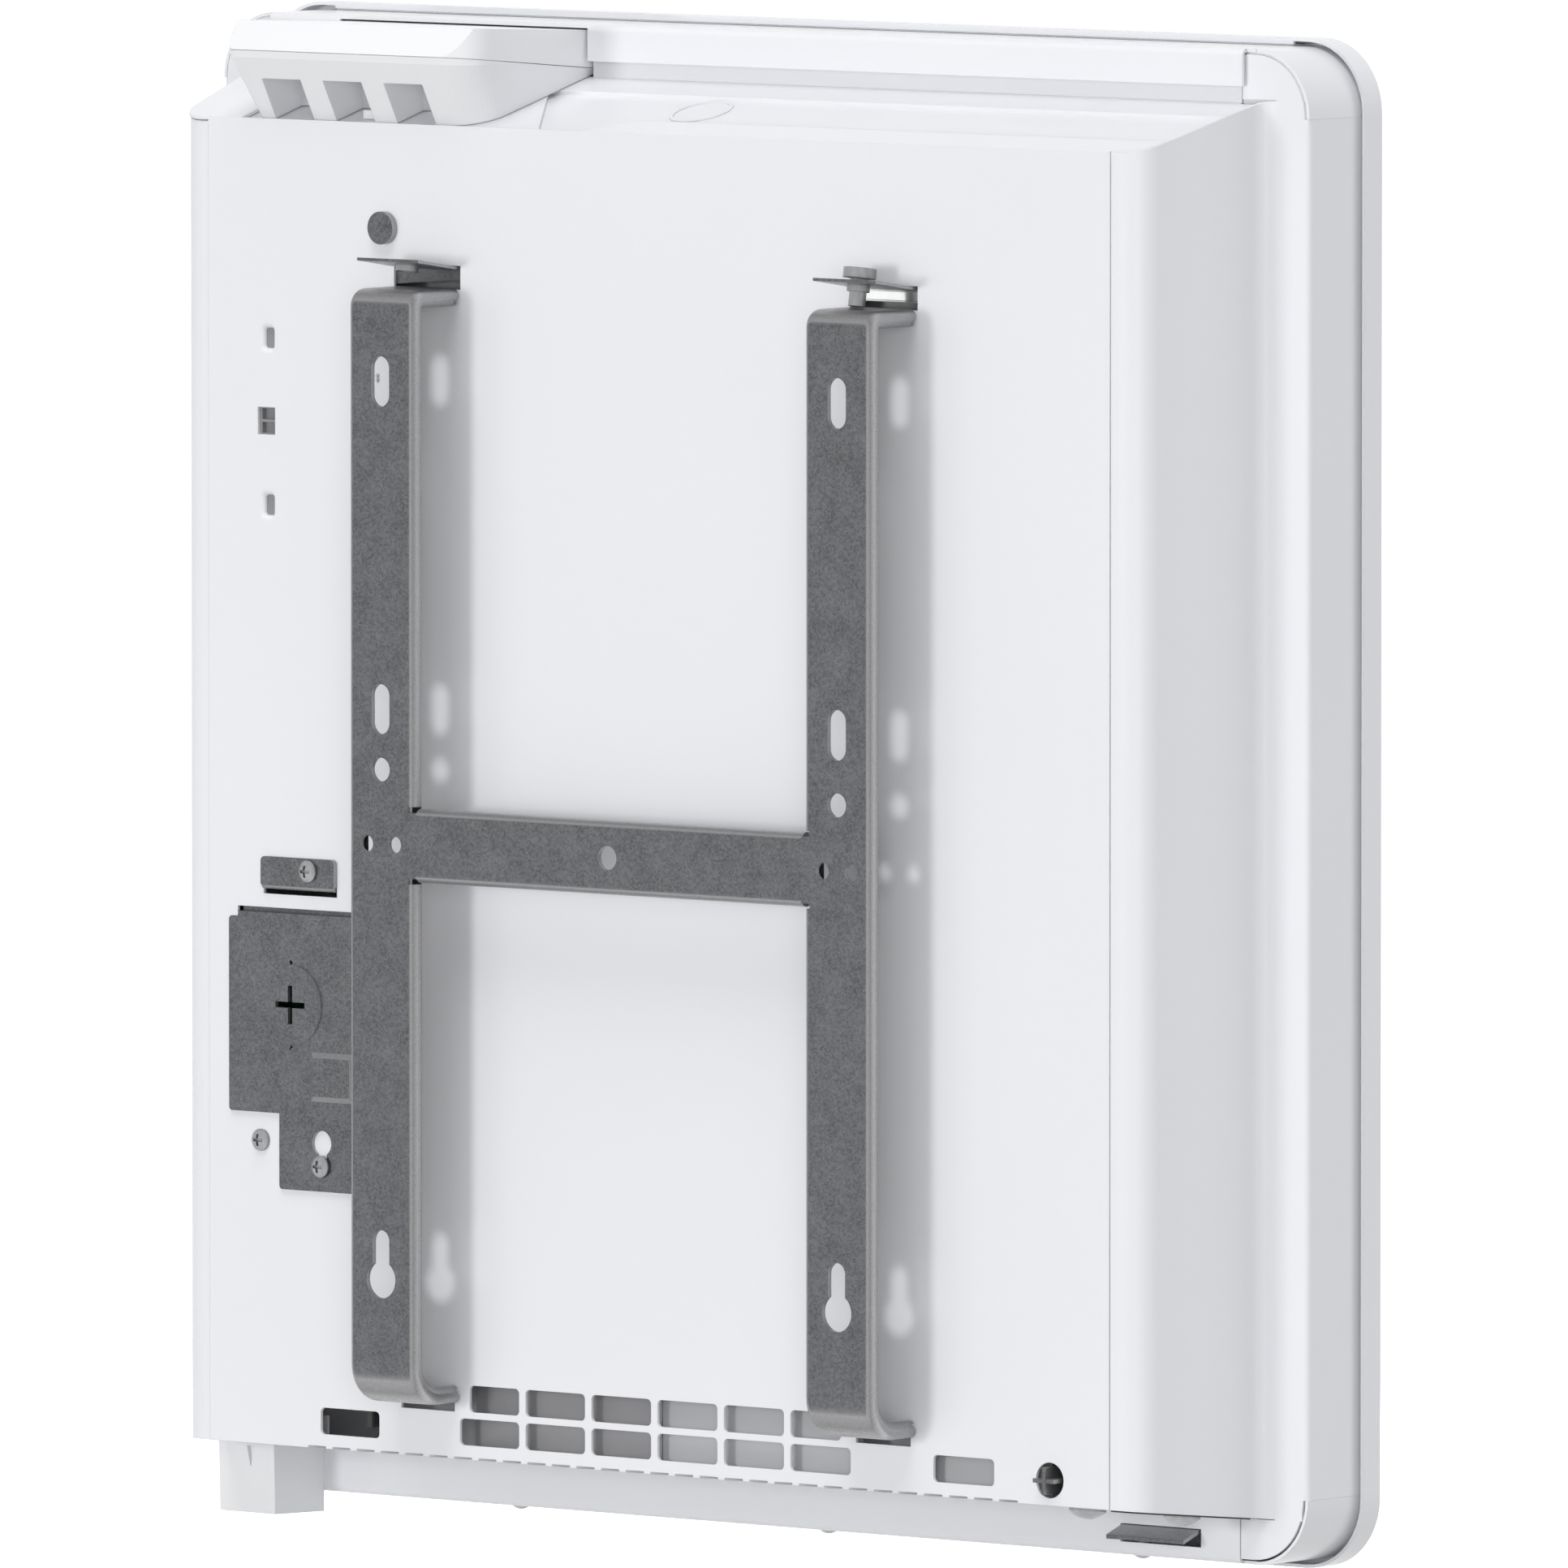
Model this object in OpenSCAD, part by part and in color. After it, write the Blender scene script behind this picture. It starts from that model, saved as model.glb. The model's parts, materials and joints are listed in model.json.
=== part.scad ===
// Wall convector heater on an H-shaped wall bracket, in millimetres.
// X is to the right seen from the room, Y points at the wall, Z is up.
// The origin is the crossbar's centre hole on the wall plane, and d is the distance from the wall.

/* [Front panel] */
// Overall width of the heater
panel_w = 426; // [380:1:600]
// Overall height of the heater
panel_h = 450; // [400:1:600]
// Depth from the wall to the front face
total_depth = 100; // [96:0.5:120]
// Corner radius of the front panel
panel_r = 21.5; // [16:0.5:26]
// Depth of the front panel's rim
rim_depth = 8; // [6:0.5:12]
// Step from the front panel's edge in to the shell
shell_inset = 2.4; // [1.8:0.1:4]

/* [Casing] */
// Gap between the wall and the rear panel
wall_gap = 21.4; // [20:0.2:30]
// Sheet thickness of casing and shell
sheet = 1; // [0.8:0.1:1.2]
// Step from the front panel's side edge in to the rear panel
rear_side = 38; // [34:0.5:44]
// Rise of the rear panel's bottom edge over the front panel's bottom
rear_rise = 21.1; // [19:0.5:26]
// Fall of the rear panel's top edge under the front panel's top
rear_fall = 31.4; // [28:0.2:36]
// Radius of the rear vertical corners
corner_r = 10; // [8:0.5:13]
// Depth of the casing behind the shell flange
casing_depth = 47.6; // [44:0.2:60]
// Slope of the top plate as rise per depth
top_slope = 0.294; // [0.2:0.01:0.3]
// Slope of the bottom plate as drop per depth
bottom_slope = 0.1; // [0.06:0.01:0.15]

/* [Vent slots] */
// Length of one rear vent slot
vent_l = 23.2; // [20:0.2:24]
// Height of one rear vent slot
vent_h = 8; // [6:0.2:9]
// Pitch of the rear vent slots
vent_pitch = 25.75; // [25.5:0.05:28]
// Pitch of the intake slots in the bottom plate
intake_pitch = 9.6; // [9:0.1:10]
// Number of intake slots in one row
intake_count = 29; // [21:2:29]

/* [Wall bracket] */
// Spacing of the two rails
rail_spacing = 177; // [160:1:200]
// Width of a rail
rail_w = 26; // [24:0.5:30]
// Gap from the rear panel's top edge down to the rails
rail_top_gap = 48.3; // [46:0.1:56]
// Gap from the rear panel's bottom edge up to the rails
rail_bottom_gap = 16.8; // [15:0.1:20]
// Sheet thickness of the bracket
bracket_sheet = 1.5; // [1.2:0.1:2]
// Depth of the rims along rail and crossbar
rim_h = 3.4; // [2.9:0.1:4]
// Height of the crossbar
cross_h = 22; // [18:1:26]
// Length of a wall slot
wall_slot_l = 15; // [12:0.5:18]
// Width of a wall slot
wall_slot_w = 7; // [5.5:0.5:8]
// Height of the lower wall slots above the crossbar
wall_slot_rise = 40.2; // [38:0.2:50]
// Diameter of the round wall holes
wall_hole_d = 7.2; // [5:0.1:8]

/* [Controls] */
// Width of the control unit
control_w = 95.5; // [88:0.5:100]
// Width of one key
key_w = 9; // [7:0.5:10]
// Spacing of the keys
key_pitch = 13; // [12:0.5:15]
// Clearance around moving pieces
clear = 0.35; // [0.3:0.05:0.5]

/* [Hidden] */
$fn = 48;
// far beyond every face, past one face, a fused seam and a hair
big = 600;
over = 1;
join = 0.05;
eps = 0.01;
// rest gap between fixed pieces
gap = 0.2;
// finishes
white = [0.92, 0.92, 0.94];
zinc = [0.46, 0.47, 0.48];
bright_zinc = [0.64, 0.65, 0.66];
aluminised = [0.68, 0.69, 0.71];
ivory = [0.87, 0.85, 0.8];
grey = [0.36, 0.36, 0.37];
black = [0.12, 0.12, 0.13];
board_green = [0.11, 0.36, 0.21];

// front panel and shell
half_w = panel_w / 2;
panel_drop = 205.4;
panel_z0 = -panel_drop;
panel_z1 = panel_z0 + panel_h;
front_d = total_depth;
tray_d = front_d - rim_depth;
plate_in = front_d - sheet;
shell_u = half_w - shell_inset;
shell_z0 = panel_z0 + shell_inset;
shell_z1 = panel_z1 - shell_inset;
shell_r = panel_r - shell_inset + sheet;
shell_cu = shell_u - shell_r;
bend_r = 2;
lip_inset = 27;
lip_run = half_w - lip_inset;
lip_gap = 0.5;

// casing outline: rear corner, flared side wall, fillet into the flange
rear_d = wall_gap;
rear_in = rear_d + sheet;
rear_u = half_w - rear_side;
rear_z0 = panel_z0 + rear_rise;
rear_z1 = panel_z1 - rear_fall;
flange_d = rear_d + casing_depth;
flange_in = flange_d + sheet;
flare = 0.176;
flare_n = sqrt(1 + flare * flare);
wall_step = 10.8;
seam_step = 10.2;
wall_u0 = rear_u + wall_step;
seam_u = rear_u + seam_step;
corner_u = wall_u0 + flare * corner_r - corner_r * flare_n;
corner_d = rear_d + corner_r;
tan_u = corner_u + corner_r / flare_n;
tan_d = corner_d - corner_r * flare / flare_n;
fillet_r = 5;
fillet_d = flange_d - fillet_r;
fillet_u = wall_u(fillet_d) + fillet_r * flare_n;
fillet_tu = fillet_u - fillet_r / flare_n;
fillet_td = fillet_d + fillet_r * flare / flare_n;
top_front_z = rear_z1 + top_slope * casing_depth;
bottom_front_z = rear_z0 - bottom_slope * casing_depth;
band_rise = 4;
band_z0 = top_front_z + band_rise;
band_out = 1.8;
band_over = 1.8;
band_u = seam_u + band_over;
band_d = flange_d - band_out;
foot_flange_h = 12;
plate_gap = 0.6;

// control unit
ctrl_side = 13.5;
ctrl_x1 = rear_u - ctrl_side;
ctrl_x0 = ctrl_x1 - control_w;
ctrl_top_gap = 0.7;
ctrl_top = shell_z1 - sheet - ctrl_top_gap;
cap_h = 11.4;
ctrl_seam = ctrl_top - cap_h;
seam_lift = 4.6;
seam_gap = 0.15;
top_lift = 2;
cap_lean = 5;
bevel_h = 2.2;
ctrl_rear = 14;
ctrl_foot = 25;
ctrl_front = tray_d - over;
ctrl_r = 12;
small_r = 3;
foot_taper = 4;
wall_p = 2;
board_rear = ctrl_rear + 34;
board_side = 9;
board_t = 1.6;
base_sink = 1.2;
base_z = rear_z1 - base_sink;
pocket_w = 15.2;
pocket_pitch = 24;
pocket_edge = 29;
pocket_depth = 22;
pocket_drop = 8.4;
pocket_tab_w = 7;
pocket_tab_h = 2.2;
disp_edge = 8;
disp_w = 32;
disp_h = 7;
disp_x0 = ctrl_x0 + disp_edge;
disp_x1 = disp_x0 + disp_w;
disp_z0 = ctrl_seam + wall_p;
disp_z1 = disp_z0 + disp_h;
disp_r = 1;
disp_flange = 1.5;
disp_sink = 0.3;
module_d = 6;
key_gap = 12;
key_h = 5.6;
key_rise = 5.4;
key_mid = ctrl_seam + key_rise;
key_x = [for (i = [0:2]) disp_x1 + key_gap + i * key_pitch];
key_r = 1.2;
key_proud = 0.6;
key_stem_w = 4.8;
key_stem_h = 3.2;
key_slot_w = 6;
key_slot_h = 4.8;

// top plate: recess with an oblique end, pressed ring, lap of the rear panel
top_drop = 1.2;
lap = 11;
lap_left_gap = 38;
flange_left = ctrl_x0 - lap_left_gap;
lap_mitre = 213;
tip_out = 0.4;
tip_gap = 0.5;
pan_under = 7;
pan_x0 = -fillet_u;
pan_x1 = ctrl_x0 + pan_under;
pan_cut = 26;
strip = 10;
pan_front = flange_d - strip;
ring_from_ctrl = 62;
ring_x = ctrl_x0 - ring_from_ctrl;
ring_d = 48;
ring_dia = 19.4;
ring_wall = 1.2;
ring_h = 0.4;
upstand_top = 6;

// vents, sensor windows and stud hole of the rear panel
vent_rise = 8.3;
vent_row = 10;
vent_short = 3.8;
vent_r = 1.5;
vent_z0 = rear_z0 + vent_rise;
vent_z1 = vent_z0 + vent_row;
single_x = 119.3;
intake_w = 7;
intake_shift = -2;
intake_split = 20;
intake_bridge = 4;
intake_front = 6;
intake_up = 0.7;
stud_edge = 22.9;
stud_rise = 7.4;
stud_x = -rear_u + stud_edge;
stud_z = rear_z0 + stud_rise;
stud_hole = 10.5;
stud_w = 8;
stud_t = 1.2;
stud_in = 10;
port_edge = 23;
port_x = rear_u - port_edge;
port_w = 6.8;
port_h = 8.2;
port_z = [for (fall = [65.3, 90.5, 115.3]) rear_z1 - fall];
port_wall = 1;
port_body = 5;
roll_w = 6.8;
roll_h = 9.3;
roll_shift = 0.6;
roll_drop = 0.4;
roll_r = 1.65;
roll_corner = 2.6;
service_depth = 9;
way_w = 5;
way_h = 3.2;
way_depth = 1.6;

// wall bracket
rail_x = rail_spacing / 2;
rail_top = rear_z1 - rail_top_gap;
rail_bottom = rear_z0 + rail_bottom_gap;
bend_top = 5.4;
bend_bottom = 12;
edge_r = 2.6;
leg_gap = 0.6;
leg_end = rear_d - leg_gap;
nose_r = 1.8;
lip_in = 2.6;
lip_w = 17;
slot_drop = 27.2;
slot_z = rail_top - slot_drop;
hole_z_right = 22.2;
hole_z_left = 19.6;
keyhole_rise = 37.6;
keyhole_z = rail_bottom + keyhole_rise;
keyhole_d = 11.3;
keyhole_neck = 6.5;
keyhole_top = keyhole_z + 14.8;
pilot_d = 5;
pilot_x = 5.5;
cross_ease = 0.5;
rim_ease = 0.6;
cross_notch = 1.2;
lip_slot_w = 21;
lip_slot_h = 4.5;
lip_slot_z1 = rail_bottom + bracket_sheet + clear;

// hanger tabs, threaded collars and lock screw, square to the rising tab
tab_w = 24;
tab_t = 0.9;
tab_rise = 0.15;
tab_tilt = atan(tab_rise);
tab_over_rail = 5.4;
tab_root_z = rail_top + tab_over_rail;
tab_len = 18;
tab_up = 18;
hang_low = 0.4;
hang_tip = 2.2;
hang_side = 3;
hanger_ease = 0.4;
screw_back = 9;
screw_d = rear_d - screw_back;
screw_shift = 2;
screw_x = -rail_x + screw_shift;
screw_bore = 5.1;
screw_head_d = 9.8;
screw_head_h = 3;
screw_head_gap = 1.2;
thread_clear = 0.05;
hole_ease = 0.8;
nut_d = 6.8;
nut_h = 1.9;
recess_l = 6;
recess_w = 1.2;
recess_h = 1.4;
pocket_back = 2.4;
pocket_lift = 1.6;

// mains-lead cover with knockout, clamp and screws
cover_side = 8.7;
cover_w = 56.3;
cover_x1 = rear_u - cover_side;
cover_x0 = cover_x1 - cover_w;
cover_t = 1;
cover_d = rear_d - cover_t;
cover_z1 = -26;
cover_h = 81.2;
cover_z0 = cover_z1 - cover_h;
cover_step_h = 58.5;
cover_step_w = 19.9;
cover_step_z = cover_z1 - cover_step_h;
cover_step_x = cover_x1 - cover_step_w;
cover_slide = 6.9;
cover_drop = 4.4;
knock_x = cover_x1 - 24.6;
knock_z = cover_z1 - 25.8;
knock_d = 24.2;
knock_rise = 0.5;
knock_nib = 1.4;
knock_cross_l = 11.6;
knock_cross_w = 1.8;
cable_w = 26;
dimple_x0 = cover_x1 - 50.3;
dimple_x1 = cover_x1 - 32.6;
dimple_z0 = cover_z1 - 54.3;
dimple_z1 = cover_z1 - 39.5;
boss_h = 1.2;
boss_slope = 1.6;
cover_r = 1.2;
tongue_x0 = cover_x1 - 52.3;
tongue_x1 = cover_x1 - 3.7;
tongue_t = 0.8;
tongue_low = 0.7;
tongue_up = 6;
tongue_back = 0.4;
clamp_x0 = cover_x1 - 42;
clamp_x1 = cover_x1 - 13;
clamp_z0 = cover_z1 + 10.1;
clamp_z1 = cover_z1 + 18.4;
clamp_t = 1.5;
clamp_foot = 6;
clamp_r = 1.5;
clamp_slot = 3;
clamp_screw = [cover_x1 - 32, cover_z1 + 14.6];
side_screw = [cover_x1 - 12, cover_z1 - 66.9];
slide_screw = [cover_x1 - 36.7, cover_z1 - 73.6];
pan_d = 6.6;
pan_h = 2.2;
pan_rim = 0.7;
pan_shank = 3.4;
pan_shank_l = 7;
pan_cross_l = 3.6;
pan_cross_w = 0.9;
pan_cross_h = 1.3;
slide_lift = 0.3;
disc_side = 16.7;
disc_fall = 31.2;
disc_x = rail_x + disc_side;
disc_z = rear_z1 - disc_fall;
disc_d = 9.8;
disc_t = 2.2;
ear_w = 12;

// foot screws, shell screws, latch and switch block under the casing
foot_head_d = 11;
foot_head_h = 3.4;
foot_rim = 1;
foot_slot = [5, 1, 2.4];
foot_shank_l = 9;
foot_screws = [[-rear_u + 21.8, rear_d + 16.2], [-rear_u - 4.6, rear_d + 27.6]];
dome_x = [half_w - 113.4, -half_w + 192.1, -half_w + 71.2];
dome_back = 8;
dome_d = flange_d + dome_back;
dome_head_d = 6.4;
dome_head_h = 1.6;
dome_shank_l = 6;
latch_edge = 14.8;
latch_w = 30.6;
latch_x0 = -seam_u + latch_edge;
latch_x1 = latch_x0 + latch_w;
latch_z0 = panel_z0 + 6.4;
latch_z1 = latch_z0 + 5.4;
latch_ease = 0.6;
latch_t = 1.2;
latch_out = 7.4;
latch_fall = 2.6;
latch_in = 4;
latch_up = 12;
block_edge = 20;
block_w = 22;
block_x1 = half_w - block_edge;
block_x0 = block_x1 - block_w;
block_d0 = 46;
block_drop = 3;
block_z0 = panel_z0 - block_drop;
block_z1 = bottom_front_z - gap;
block_rear_z = bottom_z(block_d0) - gap;
block_cant = 0.6;
notch_x = block_x0 + 8.6;
notch_w = 2.2;
notch_tip = 0.8;
notch_h = 6.5;
notch_top = 1.2;
notch_deep = 1.2;
rocker_d = (block_d0 + flange_d) / 2;
rocker_rise = 8.4;
rocker_z = panel_z0 + rocker_rise;
rocker_half = 5.8;
rocker_h = 4.2;
rocker_cell = 6.4;
rocker_room = 6;
rocker_deep = 12;
rocker_back = 8;
rocker_pivot = 6;
rocker_proud = 0.9;
rocker_dip = 0.4;
pin_d = 2;

// warm-air outlet in the front
outlet_edge = 29;
outlet_gap = 10;
outlet_h = 28;
outlet_x0 = -half_w + outlet_edge;
outlet_x1 = ctrl_x0 - outlet_gap;
outlet_z1 = rear_z1 + 2.8;
outlet_z0 = outlet_z1 - outlet_h;
outlet_r = 4;
grille_lap = 3;
grille_frame = 2.5;
grille_depth = 9;
grille_blades = 4;
blade_w = 8;
blade_t = 1.4;
blade_tilt = -30;
blade_d = 5;
grille_posts = 3;
post_w = 2;
post_short = 3;

// inside: shield, partition, element and boards
shield_t = 0.8;
shield_d = rear_in + 11;
bay_edge = 63;
bay_u = rear_u - bay_edge;
shield_x0 = -wall_u0 + 18;
shield_x1 = bay_u - over;
shield_z0 = rear_z0 + 3;
shield_z1 = rear_z1 - top_drop - 6;
shield_hem = 8;
shield_end = 40;
partition_z0 = bottom_front_z + foot_flange_h + gap;
partition_z1 = rear_z1 - top_drop - 4;
partition_front = plate_in - 10;
element_x0 = shield_x0 + 8;
element_x1 = bay_u - 3;
element_d = shield_d + 20;
element_z = rear_z0 + 60;
element_end = 12;
element_core = [10, 44];
fin_count = 11;
fin_pitch = 4;
fin = [28, 1.2];
tube_d = 7;
bush_d = 16;
bush_l = 4;
bush_edge = 4;
holder_edge = 5.5;
holder_t = 1;
holder_foot = 8;
holder_h = 32;
holder_depth = 14;
cutout_z = element_z + 52;
cutout_d = 15;
cutout_h = 7.2;
cutout_plate = [24, 1, 8];
cutout_blade = [3, 6, 0.8];
cutout_blade_x = 4;
board_d = rear_in + 14;
board_x0 = bay_u + 8;
board_x1 = wall_u0 - 20;
board_z1 = cover_z1 - 14;
board_h = 90;
board_z0 = board_z1 - board_h;
post_inset = 4;
post_d = 6;
relay_size = [29, 15.4, 14];
relay_edge = 6;
relay_fall = 28;
term_size = [34, 14.4, 16];
term_edge = 4;
term_rise = 10;
term_pitch = 11;
term_bore = 4.4;
term_first = 6;
term_deep = 11;
term_back = 7.4;

function wall_u(d) = wall_u0 + flare * (d - rear_d);
function top_z(d) = rear_z1 + top_slope * (d - rear_d);
function bottom_z(d) = rear_z0 - bottom_slope * (d - rear_d);
function tab_low(d) = tab_root_z + tab_rise * (rear_in - d);

// Shared shapes
module box(x0, x1, d0, d1, z0, z1) {
  translate([x0, -d1, z0]) cube([x1 - x0, d1 - d0, z1 - z0]);
}
module along_d(d0, d1) {
  translate([0, -d0, 0]) rotate([90, 0, 0]) linear_extrude(d1 - d0) children();
}
module along_x(x0, x1) {
  translate([x0, 0, 0]) rotate([90, 0, 90]) linear_extrude(x1 - x0) children();
}
module peg_d(x, z, d0, d1, dia) {
  translate([x, -d0, z]) rotate([90, 0, 0]) cylinder(h = d1 - d0, d = dia);
}
module peg_z(x, d, z0, z1, dia) {
  translate([x, -d, z0]) cylinder(h = z1 - z0, d = dia);
}
module peg_x(x0, x1, d, z, dia) {
  translate([x0, -d, z]) rotate([0, 90, 0]) cylinder(h = x1 - x0, d = dia);
}
module rect(x0, x1, z0, z1) {
  translate([x0, z0]) square([x1 - x0, z1 - z0]);
}
module rounded(x0, x1, z0, z1, r) {
  rect(x0 + r, x1 - r, z0, z1);
  rect(x0, x1, z0 + r, z1 - r);
  for (x = [x0 + r, x1 - r], z = [z0 + r, z1 - r]) translate([x, z]) circle(r);
}
module obround(x, z, w, l) {
  rect(x - w / 2, x + w / 2, z - (l - w) / 2, z + (l - w) / 2);
  for (s = [-1, 1]) translate([x, z + s * (l - w) / 2]) circle(d = w);
}
module keyhole(x, z, d, neck, top) {
  translate([x, z]) circle(d = d);
  rect(x - neck / 2, x + neck / 2, z, top - neck / 2);
  translate([x, top - neck / 2]) circle(d = neck);
}
module cross_cut(x, z, d0, d1, l, w) {
  box(x - l / 2, x + l / 2, d0, d1, z - w / 2, z + w / 2);
  box(x - w / 2, x + w / 2, d0, d1, z - l / 2, z + l / 2);
}
module dome(dia, h) {
  // shallow spherical cap on the plane z = 0
  r = (dia * dia / 4 + h * h) / (2 * h);
  rotate_extrude() intersection() {
    translate([0, h - r]) circle(r);
    square([dia, h]);
  }
}
module pan_screw(at, d) {
  difference() {
    union() {
      peg_d(at[0], at[1], d - pan_rim, d, pan_d);
      translate([at[0], -d + pan_rim, at[1]]) rotate([-90, 0, 0]) dome(pan_d, pan_h - pan_rim);
    }
    cross_cut(at[0], at[1], d - pan_h - over, d - pan_h + pan_cross_h, pan_cross_l, pan_cross_w);
  }
  peg_d(at[0], at[1], d - eps, d + pan_shank_l, pan_shank);
}
module casing_plan(inset) {
  polygon([for (s = [-1, 1], p = s < 0 ? [0, 1, 2, 3] : [3, 2, 1, 0])
    [s * [corner_u, tan_u - inset, fillet_tu - inset, fillet_tu - inset][p],
     -[rear_in + gap, tan_d, fillet_td, flange_d][p]]]);
  for (s = [-1, 1]) translate([s * corner_u, -corner_d]) circle(corner_r - inset);
}
module casing_core(inset) {
  translate([0, 0, -big / 2]) linear_extrude(big) casing_plan(inset);
}
module above_top(drop) {
  along_x(-big / 2, big / 2) polygon([[0, top_z(0) - drop], [-front_d, top_z(front_d) - drop],
    [-front_d, big], [0, big]]);
}
module below_bottom() {
  along_x(-big / 2, big / 2) polygon([[0, bottom_z(0)], [-front_d, bottom_z(front_d)],
    [-front_d, -big], [0, -big]]);
}
module ring_sector(u, d, r0, r1, pts) {
  intersection() {
    translate([u, -d]) difference() {
      circle(r1);
      circle(r0);
    }
    polygon(pts);
  }
}

// Wall bracket
module channel(w) {
  // cross-section: x across, y depth from the wall face
  difference() {
    union() {
      rect(-w / 2 + edge_r, w / 2 - edge_r, 0, bracket_sheet);
      for (s = [-1, 1]) {
        translate([s * (w / 2 - edge_r), edge_r]) circle(edge_r);
        translate([s > 0 ? w / 2 - bracket_sheet : -w / 2, edge_r])
          square([bracket_sheet, rim_h - edge_r]);
      }
    }
    rect(-w / 2 + edge_r, w / 2 - edge_r, bracket_sheet, rim_h + over);
    for (s = [-1, 1]) translate([s * (w / 2 - edge_r), edge_r]) circle(edge_r - bracket_sheet);
    rect(-w / 2 + bracket_sheet, w / 2 - bracket_sheet, edge_r, rim_h + over);
  }
}
module rail_bend(r, s) {
  // s = 1 top bend, s = -1 bottom bend
  mirror([0, 0, s > 0 ? 0 : 1]) rotate([0, 90, 0]) mirror([1, 0, 0])
    rotate_extrude(angle = 90) translate([r, 0]) rotate(90) channel(rail_w);
}
module nose_cut() {
  // rounds the free corner of both legs' rims
  for (s = [-1, 1]) {
    z = s > 0 ? rail_top - rim_h : rail_bottom + rim_h;
    difference() {
      box(-rail_w, rail_w, leg_end - nose_r, leg_end + over,
        min(z - s, z + s * nose_r), max(z - s, z + s * nose_r));
      translate([-rail_w, -leg_end + nose_r, z + s * nose_r]) rotate([0, 90, 0])
        cylinder(h = 2 * rail_w, r = nose_r);
    }
  }
}
module rail_holes(round_z) {
  along_d(-over, bracket_sheet + over) {
    for (z = [slot_z, wall_slot_rise]) obround(0, z, wall_slot_w, wall_slot_l);
    translate([0, round_z]) circle(d = wall_hole_d);
    for (s = [-1, 1]) translate([s * pilot_x, 0]) circle(d = pilot_d);
    keyhole(0, keyhole_z, keyhole_d, keyhole_neck, keyhole_top);
  }
}
module rail(x, round_z) {
  translate([x, 0, 0]) difference() {
    union() {
      translate([0, 0, rail_bottom + bend_bottom])
        linear_extrude(rail_top - bend_top - rail_bottom - bend_bottom)
        mirror([0, 1]) channel(rail_w);
      translate([0, -bend_top, rail_top - bend_top]) rail_bend(bend_top, 1);
      translate([0, -bend_bottom, rail_bottom + bend_bottom]) rail_bend(bend_bottom, -1);
      translate([0, -bend_top, rail_top]) rotate([90, 0, 0]) linear_extrude(leg_end - bend_top)
        mirror([0, 1]) channel(rail_w);
      translate([0, -bend_bottom, rail_bottom]) rotate([90, 0, 0])
        linear_extrude(leg_end - bend_bottom) channel(rail_w);
      box(-lip_w / 2, lip_w / 2, leg_end - eps, rear_in + lip_in,
        rail_bottom, rail_bottom + bracket_sheet);
    }
    rail_holes(round_z);
    box(x > 0 ? -rail_w : rail_w / 2 - edge_r, x > 0 ? -rail_w / 2 + edge_r : rail_w,
      -over, rim_h + over, -cross_h / 2 - cross_ease, cross_h / 2 + cross_ease);
    nose_cut();
  }
}
module bracket_rail_right() {
  color(zinc) rail(rail_x, hole_z_right);
}
module bracket_rail_left() {
  color(zinc) rail(-rail_x, hole_z_left);
}
module bracket_crossbar() {
  reach = rail_x - rail_w / 2 + edge_r;
  rim_end = rail_x - rail_w / 2 - rim_ease;
  color(zinc) difference() {
    union() {
      along_x(-rim_end, rim_end) rotate(90) channel(cross_h);
      box(-reach, reach, 0, bracket_sheet, -cross_h / 2 + edge_r, cross_h / 2 - edge_r);
      for (s = [-1, 1]) box(s > 0 ? rim_end - eps : -reach, s > 0 ? reach : eps - rim_end, 0, bracket_sheet,
        -cross_h / 2 + cross_notch, cross_h / 2 - cross_notch);
    }
    peg_d(0, 0, -over, bracket_sheet + over, wall_hole_d);
  }
}

// Casing
module hanger_window(x, grow, d0, d1) {
  box(x - tab_w / 2 - over - grow, x + tab_w / 2 + over + grow, d0, d1,
    rail_top - hanger_ease - grow, tab_root_z + tab_t + hanger_ease);
}
module vent(x, z, l) {
  rounded(x - l / 2, x + l / 2, z - vent_h / 2, z + vent_h / 2, vent_r);
}
module rear_cuts() {
  along_d(rear_d - over, rear_in + over) {
    for (i = [-2.5:2.5]) {
      short = abs(i) > 2 ? vent_short : 0;
      vent(i * vent_pitch - sign(i) * short / 2, vent_z1, vent_l - short);
      vent(i * vent_pitch, vent_z0, vent_l);
    }
    for (s = [-1, 1]) vent(s * single_x, vent_z0, vent_l);
    for (s = [-1, 1]) rect(s * rail_x - lip_slot_w / 2, s * rail_x + lip_slot_w / 2,
      lip_slot_z1 - lip_slot_h, lip_slot_z1);
    translate([stud_x, stud_z]) circle(d = stud_hole);
    port_plan(port_z[1], 0);
    for (z = [port_z[0], port_z[2]]) roll_plan(z);
    translate([knock_x, knock_z]) square(cable_w, center = true);
    rect(clamp_x0, clamp_x1, clamp_z0 - clamp_slot, clamp_z0 + clear);
    rect(tongue_x0 - over, tongue_x1 + over, cover_z1 - cover_drop - over, cover_z1 + tongue_up / 2);
    for (p = [clamp_screw, side_screw, slide_screw, [disc_x, disc_z]])
      translate(p) circle(d = pan_shank + gap);
  }
  for (s = [-1, 1]) hanger_window(s * rail_x, 0, rear_d - over, rear_in + over);
}
module intake_cuts() {
  for (i = [0:intake_count - 1]) {
    x = (i - (intake_count - 1) / 2) * intake_pitch + intake_shift;
    box(x - intake_w / 2, x + intake_w / 2, rear_d - over, rear_d + intake_split,
      bottom_front_z - sheet, rear_z0 + intake_up);
    box(x - intake_w / 2, x + intake_w / 2, rear_d + intake_split + intake_bridge, flange_d - intake_front,
      bottom_front_z - sheet, rear_z0);
  }
}
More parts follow.
